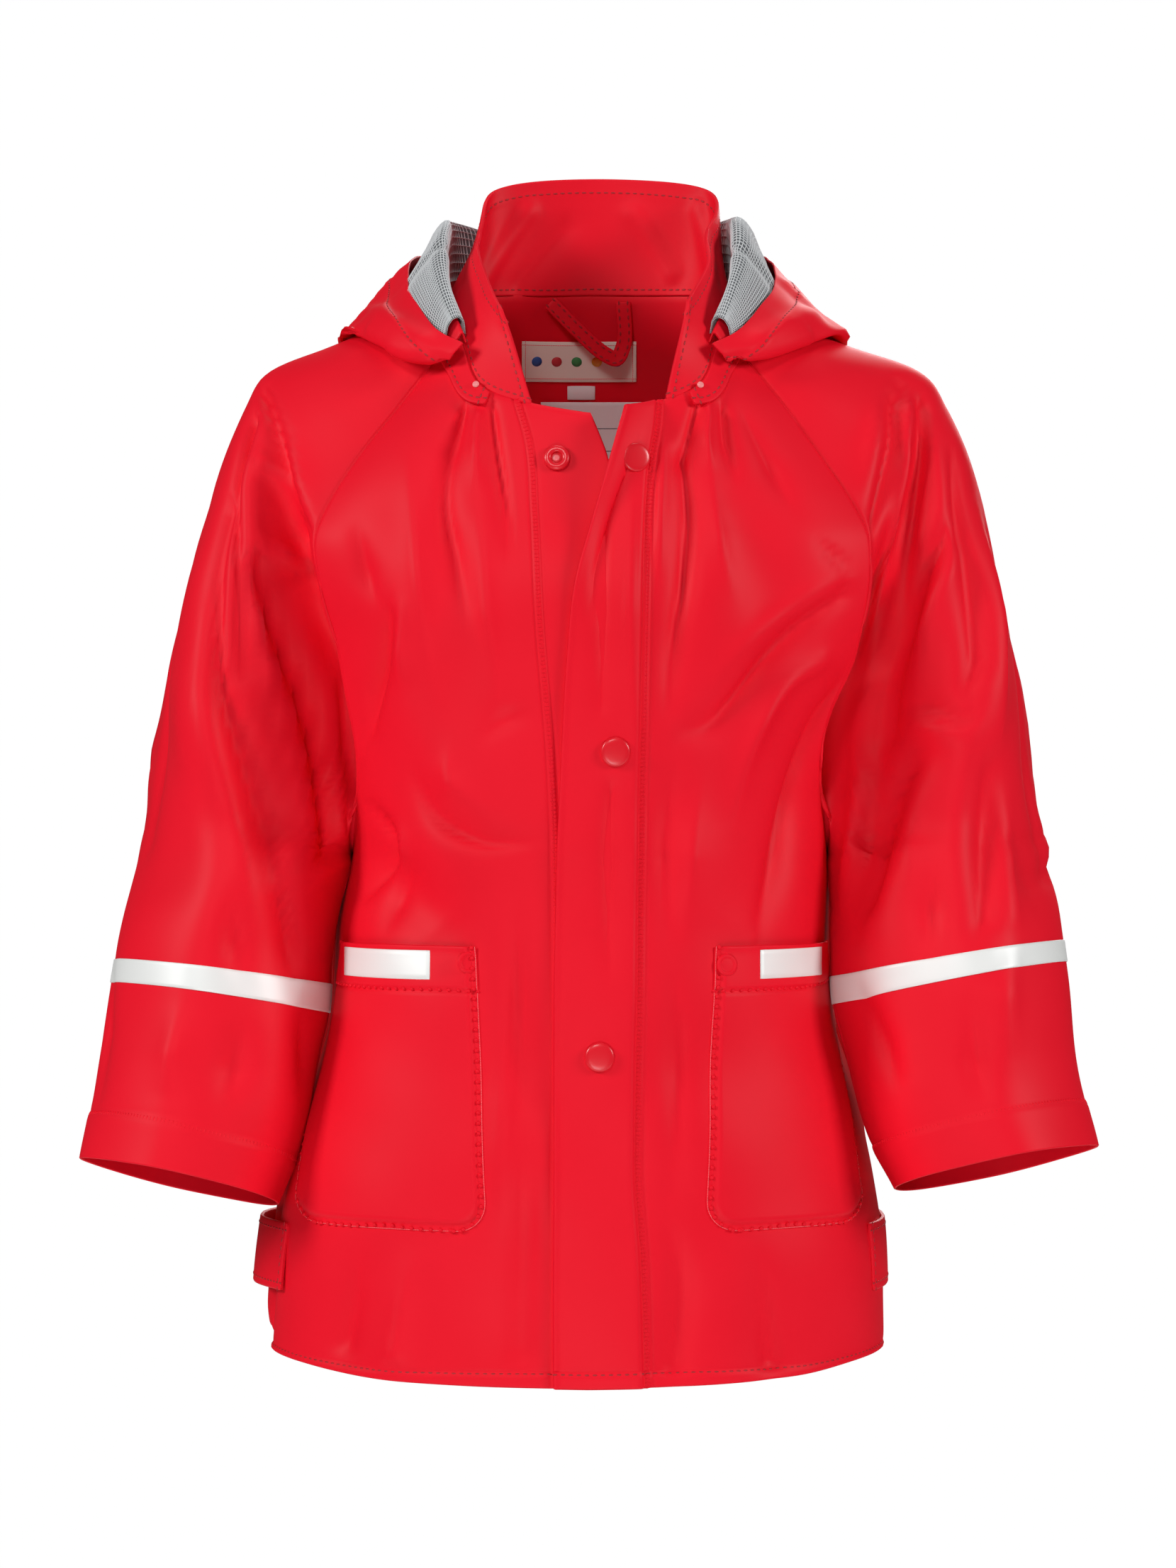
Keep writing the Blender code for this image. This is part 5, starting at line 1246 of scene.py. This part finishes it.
def make_collar():
    """The collar, from the neckline up to its top edge."""
    turns = np.linspace(-COLLAR_TOP[0][0], -COLLAR_TOP[-1][0], COLLAR_COLUMNS)
    top = smooth([-row[0] for row in COLLAR_TOP], [row[1:] for row in COLLAR_TOP], turns)
    neck = torso(-turns, neck_height(np.where(turns > 180, 360 - turns, turns)))
    share = column_shares("collar")
    rise = share[:, None, None]
    grid = neck * (1 - rise) + top * rise
    grid, normals = own_panel(grid, grid * (1, 1, 0))
    grid = line_creases(grid, normals, COLLAR_CREASES, share, turns)
    grid, normals = own_panel(raised(grid, normals, uneven_height(grid)), grid * (1, 1, 0))
    groove = bump(along(grid, 0, last=True) - COLLAR_ROW, *COLLAR_GROOVE)
    return own_panel(raised(grid, normals, groove), grid * (1, 1, 0))


def make_hood():
    """The hood's shell, the plain form of it that the net lies on, and where its rows and columns lie."""
    places = np.linspace(0, len(HOOD) * 2 - 2, HOOD_ROWS)
    shares = column_shares("hood")
    up = np.array([0, 0, 1.0])
    grid, normals = own_panel(hood_grid(places, shares), up)
    grid = line_creases(grid, normals, HOOD_CREASES, places, shares)
    lined = own_panel(raised(grid, normals, uneven_height(grid)), up)
    shell = own_panel(raised(*lined, fold_step(along(lined[0], 1, last=True), HOOD_HEM)), up)
    return shell, lined, places, shares


def net_grid(lined, places, shares):
    """Points of the net, about one mesh apart, on the lined part of the hood."""
    grid, normals = lined
    long, wide = [int(size / NET_PITCH) for size in NET_SIZE]
    across_at = np.linspace(*NET_SHARES, wide)
    along_neck = np.interp(np.linspace(*NET_PLACES, long), places, np.arange(len(places)))
    across = np.interp(across_at, shares, np.arange(len(shares)))
    rows, columns = np.meshgrid(along_neck, across, indexing="ij")
    # Over the hood's sharp crest the directions turn evenly from one side's to the other's.
    out = sample(normals, rows, columns) + NET_UP
    before, after = np.searchsorted(across_at, NET_CREST)
    turn = np.linspace(0, 1, after - before + 1)[:, None]
    out[:, before:after + 1] = out[:, before:before + 1] * (1 - turn) + out[:, after:after + 1] * turn
    out = unit(out)
    puff = smooth(column(NET_PUFF, 0), column(NET_PUFF, 1), across_at)
    from_end = np.linspace(0, NET_SIZE[0], long)
    from_end = np.minimum(from_end, NET_SIZE[0] - from_end)
    start, reach = NET_END_REACH
    full = NET_END_SHARE + (1 - NET_END_SHARE) * ease((from_end - start) / (reach - start))
    return raised(sample(grid, rows, columns), out, full[:, None] * puff), out


def pocket_places(side, rows, shares):
    """Places across and heights of a pocket's points, its lower corners rounded."""
    up = rows / (POCKET_TOP - POCKET_BOTTOM)
    rest = np.clip(POCKET_CORNER - rows, 0, POCKET_CORNER)
    inset = side * (POCKET_CORNER - np.sqrt(POCKET_CORNER ** 2 - rest ** 2))
    near, far = [bottom + (top - bottom) * up for top, bottom in (POCKET_INNER[side], POCKET_OUTER[side])]
    across = np.outer(near + inset, 1 - shares) + np.outer(far - inset, shares)
    return np.stack([across, np.broadcast_to((POCKET_BOTTOM + rows)[:, None], across.shape)], axis=-1)


def on_front(side, front, drawn_at, targets):
    """Points and directions on a front below the underarm, at places across and heights of the plain form."""
    levels, shares = drawn_at
    across, height = targets[..., 0], targets[..., 1]
    angle = abs(angle_at(across, height))
    side_height = height.copy()
    for _ in range(HEIGHT_TURNS):
        side_height = side_height + height - row_height(level_at(side_height), angle, False)
    level = level_at(side_height)
    seam = np.interp(level, levels, abs(line_angle(levels, LEFT_SEAM if side == LEFT else RIGHT_SEAM)))
    edge = side_edge(level, False)[1]
    rows = np.interp(level, levels, np.arange(len(levels)))
    columns = np.interp((edge - angle) / (edge - seam), shares, np.arange(len(shares)))
    return sampled(front, rows, columns)


def make_pocket(side, front, drawn_at):
    """A pocket on its front: a sewn-down flange round three sides and the raised pocket inside it."""
    height = POCKET_TOP - POCKET_BOTTOM
    rows = np.unique(np.concatenate([graded(height, POCKET_ROW_STEP), height - POCKET_BAND_ROW + BAND_ROWS]))
    base, out = on_front(side, front, drawn_at, pocket_places(side, rows, column_shares("pocket")))
    outline = np.concatenate([base[::-1, 0], base[0], base[:, -1]])
    places = np.arange(len(outline))
    dense = smooth(places, outline, np.linspace(0, places[-1], POCKET_OUTLINE), steady=True)
    edge, from_top = distance_to(base, dense), along(base, 0, last=True)
    lift = POCKET_BASE + POCKET_RISE * ease((edge - POCKET_FLANGE) / POCKET_SLOPE)
    lift += BAND_RISE * ease((POCKET_BAND_ROW - from_top) / BAND_SLOPE)
    lift += bump(from_top - POCKET_BAND_ROW, *BAND_GROOVE) + bump(from_top, *POCKET_LIP)
    return own_panel(raised(base, out, lift), base * (1, 1, 0))


def patch(panel, left, right, top, bottom, lift, step=PATCH_STEP):
    """The part of a panel between two places across and two heights."""
    across = np.linspace(left, right, max(3, int(abs(right - left) / step)))
    up = np.linspace(bottom, top, max(3, int(abs(top - bottom) / step)))
    return on_panel(panel, np.stack(np.meshgrid(across, up), axis=-1), lift)


def parallel(panel, axis, distance, last=False):
    """A line on a panel at a distance from its first row (axis 0) or column (axis 1), or its last."""
    away = along(panel[0], axis, last)
    reaches = away.T if axis == 0 else away
    spots = np.array([np.interp(distance, np.sort(reach), np.argsort(reach)) for reach in reaches])
    other = np.arange(len(spots))
    return sampled(panel, *((spots, other) if axis == 0 else (other, spots)))


def turned(name, spot, profile, finish, lift=0.0):
    """A round piece turned about a spot's normal, by a profile of (radius, height) from the rim inwards."""
    point, normal = spot
    normal = unit(normal)
    across = unit(np.cross(normal, (0, 0, 1.0)))
    up = np.cross(across, normal)
    turn = np.linspace(0, 2 * np.pi, ROUND_SIDES, endpoint=False)
    circle = np.outer(np.cos(turn), across) + np.outer(np.sin(turn), up)
    rings = [point + normal * (lift + high) + out * circle for out, high in profile]
    closed = tuple(profile[0]) == tuple(profile[-1])
    if closed:
        rings = rings[:-1]
    count = len(rings)
    faces = []
    for ring in range(count if closed else count - 1):
        below, above = ring * ROUND_SIDES, (ring + 1) % count * ROUND_SIDES
        for k in range(ROUND_SIDES):
            after = (k + 1) % ROUND_SIDES
            faces.append((below + k, above + k, above + after, below + after))
    if not closed:
        faces.append(tuple(range(ROUND_SIDES)))
        faces.append(tuple((count - 1) * ROUND_SIDES + k for k in reversed(range(ROUND_SIDES))))
    return add_mesh(name, np.concatenate(rings), faces, finish)


def rounded(profile):
    """A profile drawn smoothly through its points."""
    places = np.linspace(0, len(profile) - 1, PROFILE_POINTS)
    return [tuple(row) for row in smooth(np.arange(len(profile)), profile, places)]


def strap_grid(side, stand_off):
    """A strap round the side over the vent, bowed out in its middle."""
    angle, height = np.meshgrid(*(np.linspace(*ends, points) for ends, points in
                                  zip((STRAP_ANGLES, STRAP_HEIGHTS), STRAP_POINTS)))
    points = torso(side * angle, height)
    start, end = STRAP_ANGLES
    bow = np.sin(np.pi * (angle - start) / (end - start)) ** 2
    return raised(points, unit(points * (1, 1, 0)), stand_off * bow)


def loop_grid():
    """The hanger loop's tape, across for each point of its middle line."""
    line = smooth(column(LOOP_LINE, 0), [row[1:] for row in LOOP_LINE], np.linspace(0, 1, LOOP_POINTS[0]))
    across = unit(np.cross(np.gradient(line, axis=0), (0, 1.0, 0)))
    places = np.linspace(-LOOP_WIDTH / 2, LOOP_WIDTH / 2, LOOP_POINTS[1])
    return line[:, None] + across[:, None] * places[:, None]


def tab_grid(side):
    """A hood tab, lying on the front below the collar's front end."""
    start, end = TAB_ANGLES
    high, low = TAB_DROP
    grid = []
    for turn in np.linspace(start, end, TAB_POINTS[0]):
        share = (turn - start) / (end - start)
        bottom = low - (low - high) * TAB_ROUNDING * share ** 3
        grid.append(torso(side * turn, neck_height(turn) - np.linspace(high, bottom, TAB_POINTS[1])))
    return np.array(grid)


def linear(code):
    """A hex colour as it looks, in the renderer's linear values."""
    values = [int(code[k:k + 2], 16) / 255 for k in (1, 3, 5)]
    return (*[v / 12.92 if v <= 0.04045 else ((v + 0.055) / 1.055) ** 2.4 for v in values], 1.0)


def add_node(tree, kind, settings=None, inputs=None):
    """A node with its settings, its input values and the links into it."""
    made = tree.nodes.new(kind)
    for name, value in (settings or {}).items():
        setattr(made, name, value)
    for name, value in (inputs or {}).items():
        if isinstance(value, bpy.types.NodeSocket):
            tree.links.new(value, made.inputs[name])
        else:
            made.inputs[name].default_value = value
    return made


def new_material(name, colour, roughness, metallic=0.0):
    """A material with its tree and shader."""
    made = bpy.data.materials.new(name)
    made.use_nodes = True
    tree = made.node_tree
    shader = tree.nodes["Principled BSDF"]
    shader.inputs["Base Color"].default_value = linear(colour)
    shader.inputs["Roughness"].default_value = roughness
    shader.inputs["Metallic"].default_value = metallic
    return made, tree, shader


def grain(tree, shader, size, strength, depth):
    """A fine surface grain of the given size in millimetres, as a bump."""
    where = add_node(tree, "ShaderNodeTexCoord")
    noise = add_node(tree, "ShaderNodeTexNoise", None,
                     {"Vector": where.outputs["Object"], "Scale": 1000 / size, "Detail": 2.0})
    bump = add_node(tree, "ShaderNodeBump", None,
                    {"Strength": strength, "Distance": depth * MM, "Height": noise.outputs[0]})
    tree.links.new(bump.outputs["Normal"], shader.inputs["Normal"])
    return where


def coated_cloth(name, lit, deep, roughness):
    """Polyurethane-coated polyester knit: a smooth satin film that dulls slightly over the knit.

    The film takes broad soft highlights. The knit's grain barely shows through it.
    """
    made, tree, shader = new_material(name, lit, roughness)
    where = grain(tree, shader, *KNIT_GRAIN)
    patches = add_node(tree, "ShaderNodeTexNoise", None,
                       {"Vector": where.outputs["Object"], "Scale": 1000 / PATCH_SIZE, "Detail": 3.0})
    blend = add_node(tree, "ShaderNodeMix", {"data_type": "RGBA"},
                     {0: patches.outputs[0], 6: linear(deep), 7: linear(lit)})
    tree.links.new(blend.outputs[2], shader.inputs["Base Color"])
    low, high = CLOTH_DULLING
    dull = add_node(tree, "ShaderNodeMapRange", None,
                    {0: patches.outputs[0], 3: roughness + low, 4: roughness + high})
    tree.links.new(dull.outputs[0], shader.inputs["Roughness"])
    shader.inputs["IOR"].default_value = CLOTH_IOR
    shader.inputs["Specular IOR Level"].default_value = CLOTH_SPECULAR
    return made


def make_materials():
    """Every material of the jacket, by its use."""
    paint = {"cloth": coated_cloth("polyurethane_coated_knit_red", RED_LIT, RED_DEEP, CLOTH_ROUGHNESS)}
    for use, (name, colour, roughness, metallic, surface) in MATERIALS.items():
        paint[use], tree, shader = new_material(name, colour, roughness, metallic)
        if surface:
            grain(tree, shader, *surface)
        if use == "snap":
            shader.inputs["IOR"].default_value = SNAP_IOR
    # Polyester yarns woven into the label.
    paint["dots"] = [new_material(f"label_dot_{number}", colour, 0.6)[0]
                     for number, colour in enumerate(DOT_COLOURS, 1)]
    return paint


def stitch_tree():
    """Node tree that lays one small rounded stitch at each step along the paths."""
    tree = bpy.data.node_groups.new("stitches_along_paths", "GeometryNodeTree")
    kinds = {"Paths": "Geometry", **dict.fromkeys(STITCH_SIZES, "Float"), "Thread": "Material"}
    sockets = {label: tree.interface.new_socket(label, in_out="INPUT", socket_type="NodeSocket" + kind)
               for label, kind in kinds.items()}
    tree.interface.new_socket("Stitches", in_out="OUTPUT", socket_type="NodeSocketGeometry")
    given = add_node(tree, "NodeGroupInput").outputs
    curve = add_node(tree, "GeometryNodeMeshToCurve", None, {"Mesh": given["Paths"]})
    even = add_node(tree, "GeometryNodeResampleCurve", {"mode": "LENGTH"},
                    {"Curve": curve.outputs[0], "Length": given["Pitch"]})
    ball = add_node(tree, "GeometryNodeMeshUVSphere", None, {"Segments": 8, "Rings": 5, "Radius": 0.5})
    soft = add_node(tree, "GeometryNodeSetShadeSmooth", None, {"Geometry": ball.outputs["Mesh"]})
    size = add_node(tree, "ShaderNodeCombineXYZ", None,
                    {"X": given["Length"], "Y": given["Width"], "Z": given["Height"]})
    tangent = add_node(tree, "GeometryNodeInputTangent")
    out = add_node(tree, "GeometryNodeInputNamedAttribute", {"data_type": "FLOAT_VECTOR"}, {"Name": "out"})
    turn = add_node(tree, "FunctionNodeAxesToRotation", {"primary_axis": "Z", "secondary_axis": "X"},
                    {0: out.outputs[0], 1: tangent.outputs[0]})
    placed = add_node(tree, "GeometryNodeInstanceOnPoints", None,
                      {"Points": even.outputs[0], "Instance": soft.outputs[0], "Rotation": turn.outputs[0],
                       "Scale": size.outputs[0]})
    real = add_node(tree, "GeometryNodeRealizeInstances", None, {"Geometry": placed.outputs[0]})
    dyed = add_node(tree, "GeometryNodeSetMaterial", None,
                    {"Geometry": real.outputs[0], "Material": given["Thread"]})
    add_node(tree, "NodeGroupOutput", None, {"Stitches": dyed.outputs[0]})
    return tree, sockets


def made_plain(made):
    """The object's shape with its modifiers, as a plain mesh."""
    evaluated = made.evaluated_get(bpy.context.evaluated_depsgraph_get())
    mesh = bpy.data.meshes.new_from_object(evaluated)
    made.modifiers.clear()
    made.data = mesh
    return made


def sew(name, rows, kind, finish, tree):
    """Stitches along rows of (points, outward directions)."""
    group, sockets = tree
    points, outs = [np.concatenate(parts) for parts in zip(*rows)]
    edges, start = [], 0
    for row, _ in rows:
        edges += [(k, k + 1) for k in range(start, start + len(row) - 1)]
        start += len(row)
    made = add_mesh(name, points, [], None, edges)
    attribute = made.data.attributes.new("out", "FLOAT_VECTOR", "POINT")
    attribute.data.foreach_set("vector", outs.astype(np.float32).ravel())
    modifier = made.modifiers.new("Stitches", "NODES")
    modifier.node_group = group
    for label, value in zip(STITCH_SIZES, kind):
        modifier[sockets[label].identifier] = value * MM
    modifier[sockets["Thread"].identifier] = finish
    return made_plain(made)


def lifted(row, amount):
    """A row, or a whole panel, moved out from its cloth."""
    points, out = row
    return points + out * amount, out


def inside(row, depth=SHELL):
    """The same row on the cloth's other side."""
    points, out = row
    return points - out * depth, -out


def edges_of(panel, distance, sides=("start", "end", "bottom", "top")):
    """Rows at a distance inside the named sides of a small piece."""
    found = {"start": (0, False), "end": (0, True), "bottom": (1, False), "top": (1, True)}
    return [parallel(panel, found[side][0], distance, found[side][1]) for side in sides]


def add_floor():
    """The floor, a pale disc that fades out well behind the jacket."""
    turn = np.linspace(0, 2 * np.pi, FLOOR_SIDES, endpoint=False)
    ring = np.stack([FLOOR_RADIUS * np.cos(turn), FLOOR_RADIUS * np.sin(turn),
                     np.full(FLOOR_SIDES, FLOOR_HEIGHT)], axis=1)
    # Matt painted board: pale, with no shine.
    finish, tree, shader = new_material("painted_board_white", FLOOR_WHITE, 0.9)
    where = add_node(tree, "ShaderNodeTexCoord")
    flat = add_node(tree, "ShaderNodeVectorMath", {"operation": "MULTIPLY"},
                    {0: where.outputs["Object"], 1: (1.0, 1.0, 0.0)})
    reach = add_node(tree, "ShaderNodeVectorMath", {"operation": "LENGTH"}, {0: flat.outputs[0]})
    start, end = [share * FLOOR_RADIUS * MM for share in FLOOR_FADE]
    fade = add_node(tree, "ShaderNodeMapRange", {"interpolation_type": "SMOOTHSTEP"},
                    {0: reach.outputs["Value"], 1: start, 2: end, 3: 1.0, 4: 0.0})
    tree.links.new(fade.outputs[0], shader.inputs["Alpha"])
    add_mesh("floor", ring, [tuple(range(FLOOR_SIDES))], finish)


def add_backdrop():
    """A plain white dome that only the camera sees."""
    bpy.ops.mesh.primitive_ico_sphere_add(subdivisions=4, radius=BACKDROP_RADIUS * MM)
    dome = bpy.context.object
    dome.name = "backdrop"
    # White paper, evenly lit.
    finish, _, shader = new_material("backdrop_paper_white", "#000000", 1.0)
    shader.inputs["Emission Color"].default_value = linear("#FFFFFF")
    shader.inputs["Emission Strength"].default_value = BACKDROP_STRENGTH
    dome.data.materials.append(finish)
    for kind in ("diffuse", "glossy", "transmission", "volume_scatter", "shadow"):
        setattr(dome, "visible_" + kind, False)


def add_light(name, place, size, power):
    """A large soft lamp aimed at the middle of the jacket."""
    light = bpy.data.lights.new(name, "AREA")
    light.shape = "SQUARE"
    light.size = size
    light.energy = power
    made = bpy.data.objects.new(name, light)
    made.location = place
    made.rotation_euler = (Vector(LAMPS_AIM) - Vector(place)).to_track_quat("-Z", "Y").to_euler()
    bpy.context.scene.collection.objects.link(made)


def add_studio():
    """The world's light, the lamps and the camera."""
    world = bpy.data.worlds.new("studio")
    world.use_nodes = True
    light = world.node_tree.nodes["Background"].inputs
    light["Color"].default_value = linear("#FFFFFF")
    light["Strength"].default_value = WORLD_STRENGTH
    bpy.context.scene.world = world
    for lamp in LAMPS:
        add_light(*lamp)
    bpy.context.scene.view_settings.view_transform = "Standard"
    lens = bpy.data.cameras.new("camera")
    lens.lens = CAMERA_LENS
    lens.sensor_width = CAMERA_SENSOR
    camera = bpy.data.objects.new("camera", lens)
    camera.location = CAMERA_PLACE
    camera.rotation_euler = (np.pi / 2, 0, 0)
    bpy.context.scene.collection.objects.link(camera)
    bpy.context.scene.camera = camera


def placed(made, slot, *nodes):
    """Sets a piece in place: it rides the jacket's body, and the solids that it stands for are hidden. The
    slot is not used.
    """
    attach(made, "root")
    if nodes:
        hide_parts(*nodes)


def cut_piece(made, slot, node):
    """A piece of cloth, tape or net, set in place."""
    placed(made, slot, node)


def add_cloth(name, panel, paint, lift=0.0, thickness=DOUBLED, rim=TWIN_RIM, closed=None):
    """A piece of the coated cloth, doubled unless it says otherwise."""
    made = panel_wall("cloth_" + name, panel, paint["cloth"], lift, thickness, rim, closed)
    cut_piece(made, "coated_cloth", name)


def add_body(panels, paint, sewn):
    """The fronts, the back and the placket, with their hem rows and the seams beside the placket."""
    for name in BODY[:-1]:
        add_cloth(name, panels[name], paint, 0, SHELL, PLAIN_RIM)
    add_cloth("placket_over", panels["placket_over"], paint)
    sewn["stitches_thread"] += [lifted(parallel(panels[name], 0, HEM_ROW), HEM_SEWN) for name in BODY]
    sewn["stitches_cover"] += [lifted(parallel(panels[name], 1, 0.0, last=True), COVER_SEWN)
                               for name in FRONTS]


def add_sleeves(panels, places, paint, sewn):
    """The sleeves, with their cuff rows and their reflective strips."""
    for name in SLEEVES:
        panel = panels[name]
        rows, columns = panel[0].shape[:2]
        add_cloth(name, panel, paint, 0, SHELL, PLAIN_RIM, closed=int(np.sum(places < 1)))
        sewn["stitches_cover"].append(lifted(parallel(panel, 0, CUFF_ROW, last=True), HEM_SEWN))
        strip_at = np.interp(np.linspace(*STRIP_PLACES, STRIP_ROWS), places, np.arange(rows))
        across, down = np.meshgrid(np.arange(columns), strip_at)
        strip = sample(panel[0], down, across), sample(panel[1], down, across)
        made = panel_wall("tape_" + name, strip, paint["tape"], SLEEVE_TAPE_LIFT, TAPE_THICKNESS, closed=0)
        cut_piece(made, "reflective_strip", "strip_" + name)


def add_collar(paint, sewn):
    """The collar, sewn on both faces."""
    collar = make_collar()
    add_cloth("collar", collar, paint, COLLAR_LIFT)
    for axis, distance, last, lift in COLLAR_ROWS:
        row = parallel(collar, axis, distance, last)
        sewn["stitches_thread"] += [lifted(row, lift), inside(lifted(row, COLLAR_LIFT), DOUBLED)]


def add_hood(paint, sewn):
    """The hood's shell and its net lining."""
    shell, lined, places, shares = make_hood()
    add_cloth("hood_shell", shell, paint, 0, SHELL)
    row = parallel(shell, 1, HOOD_HEM, last=True)
    sewn["stitches_thread"] += [row, inside(row)]
    points, _ = net_grid(lined, places, shares)
    net = add_mesh("net_hood_lining", points, quads(*points.shape[:2]).tolist(), paint["behind"])
    yarns = net.modifiers.new("Yarns", "WIREFRAME")
    yarns.thickness = NET_YARN * MM
    yarns.use_even_offset = False
    # The plain layer of painted shade stays behind the yarns, in the first material; the yarns have the
    # second.
    yarns.use_replace = False
    yarns.material_offset = 1
    net.data.materials.append(paint["net"])
    cut_piece(made_plain(net), "mesh_lining", "hood_lining")


def add_pocket(side, word, front, drawn_at, paint, sewn):
    """A pocket with its beads, its pale cut edges, its reflective strip and its snap's mark."""
    pocket = make_pocket(side, front, drawn_at)
    add_cloth("pocket_" + word, pocket, paint, 0, SHELL, PLAIN_RIM)
    sewn["stitches_beads"] += [lifted(row, BEAD_SEWN) for row in edges_of(pocket, BEAD_ROW, SEWN_SIDES)]
    sewn["stitches_beads"].append(lifted(parallel(pocket, 0, POCKET_BAND_ROW, last=True), BAND_SEWN))
    sewn["stitches_edges"] += edges_of(pocket, CUT_EDGE_ROW, SEWN_SIDES)
    strip = patch(pocket, *POCKET_STRIP[side], POCKET_STRIP_TOP, POCKET_STRIP_BOTTOM, POCKET_TAPE_LIFT)
    made = panel_wall("tape_pocket_" + word, strip, paint["tape"], 0, TAPE_THICKNESS)
    cut_piece(made, "reflective_strip", "strip_pocket_" + word)
    spot = spot_on(pocket, POCKET_MARK[side])
    mark = turned("coined_mark_pocket_" + word, spot, rounded(COINED), paint["cloth"], MARK_LIFT)
    placed(mark, "coated_cloth")


def add_strap_and_tab(side, word, paint, sewn):
    """The strap over a vent, and a hood tab with its small snap."""
    strap = own_panel(strap_grid(side, STRAP_BOW[side]), strap_grid(side, 0) * (1, 1, 0))
    add_cloth("strap_" + word, strap, paint, STRAP_LIFT)
    sewn["stitches_thread"] += [lifted(row, STRAP_LIFT) for row in edges_of(strap, STRAP_ROW)]
    tab = own_panel(tab_grid(side), tab_grid(side) * (1, 1, 0))
    add_cloth("hood_tab_" + word, tab, paint, TAB_LIFT)
    sewn["stitches_thread"] += [lifted(row, TAB_LIFT) for row in edges_of(tab, TAB_ROW, ("end", "top"))]
    spot = spot_on(tab, (side * TAB_SNAP[0], TAB_SNAP[1]))
    # The small snap is in the pale material: a painted highlight of its shine.
    placed(turned("snap_tab_shown_" + word, spot, rounded(SMALL_SNAP), paint["pale"], SMALL_SNAP_LIFT),
           "snap", "snap_tab_" + word)


def add_snaps(over, under, snap):
    """The caps on the overlap and the socket on the underlap."""
    for number, place in enumerate(CAPS, 1):
        cap = turned(f"snap_cap_shown_{number}", spot_on(over, place), rounded(CAP), snap, CAP_LIFT)
        placed(cap, "snap", f"snap_cap_{number}")
    spot = spot_on(under, SOCKET)
    placed(turned("snap_socket_shown", spot, SOCKET_RING, snap, SOCKET_LIFT), "snap", "snap_socket")
    placed(turned("snap_socket_floor", spot, SOCKET_FLOOR, snap, SOCKET_LIFT), "snap")


def add_neck(back, paint, sewn):
    """The labels inside the back of the neck, what is on them, and the hanger loop."""
    for name, finish, ends_and_heights in LABELS:
        label = patch(back, *ends_and_heights, LABEL_LIFT)
        made = panel_wall("tape_" + name, label, paint[finish], 0, TAPE_THICKNESS)
        if made.name in CUT:
            cut_piece(made, "label", name)
        else:
            placed(made, "label", name)
        if name == "label_neck":
            sewn["stitches_edges"] += [inside(row, TAPE_THICKNESS) for row in edges_of(label, LABEL_ROW)]
    for number, (x, height, tone) in enumerate(LABEL_DOTS, 1):
        point, out = spot_on(back, (x, height), LABEL_LIFT - TAPE_THICKNESS)
        placed(turned(f"label_dot_{number}", (point, -out), DOT, paint["dots"][tone]), "label")
    for number, height in enumerate(NAME_RULES, 1):
        rule = patch(back, *RULE_ENDS, height + RULE_HALF, height - RULE_HALF, RULE_LIFT, RULE_STEP)
        placed(panel_wall(f"name_rule_{number}", rule, paint["ink"], 0, INK_THICKNESS), "label")
    loop = own_panel(loop_grid(), np.array([0, -1.0, 0]))
    add_cloth("hanger_loop", loop, paint, LOOP_LIFT, LOOP_THICKNESS)
    sewn["stitches_thread"] += [lifted(row, LOOP_LIFT) for row in edges_of(loop, LOOP_ROW, ("bottom", "top"))]


def main():
    """Dresses the jacket piece by piece, sews it and sets it in its studio."""
    paint = make_materials()
    sewn = {name: [] for name in STITCHES}
    panels, places, drawn_at = make_garment()
    panels["placket_over"] = make_overlap(panels["placket_over"])
    add_body(panels, paint, sewn)
    add_sleeves(panels, places, paint, sewn)
    add_collar(paint, sewn)
    add_hood(paint, sewn)
    for side, word in SIDES:
        add_pocket(side, word, panels["front_" + word], drawn_at, paint, sewn)
        add_strap_and_tab(side, word, paint, sewn)
    add_snaps(panels["placket_over"], panels["placket_under"], paint["snap"])
    add_neck(panels["back"], paint, sewn)
    tree = stitch_tree()
    for name, (kind, use) in STITCHES.items():
        placed(sew(name, sewn[name], kind, paint[use], tree), "coated_cloth")
    add_floor()
    add_backdrop()
    add_studio()


main()
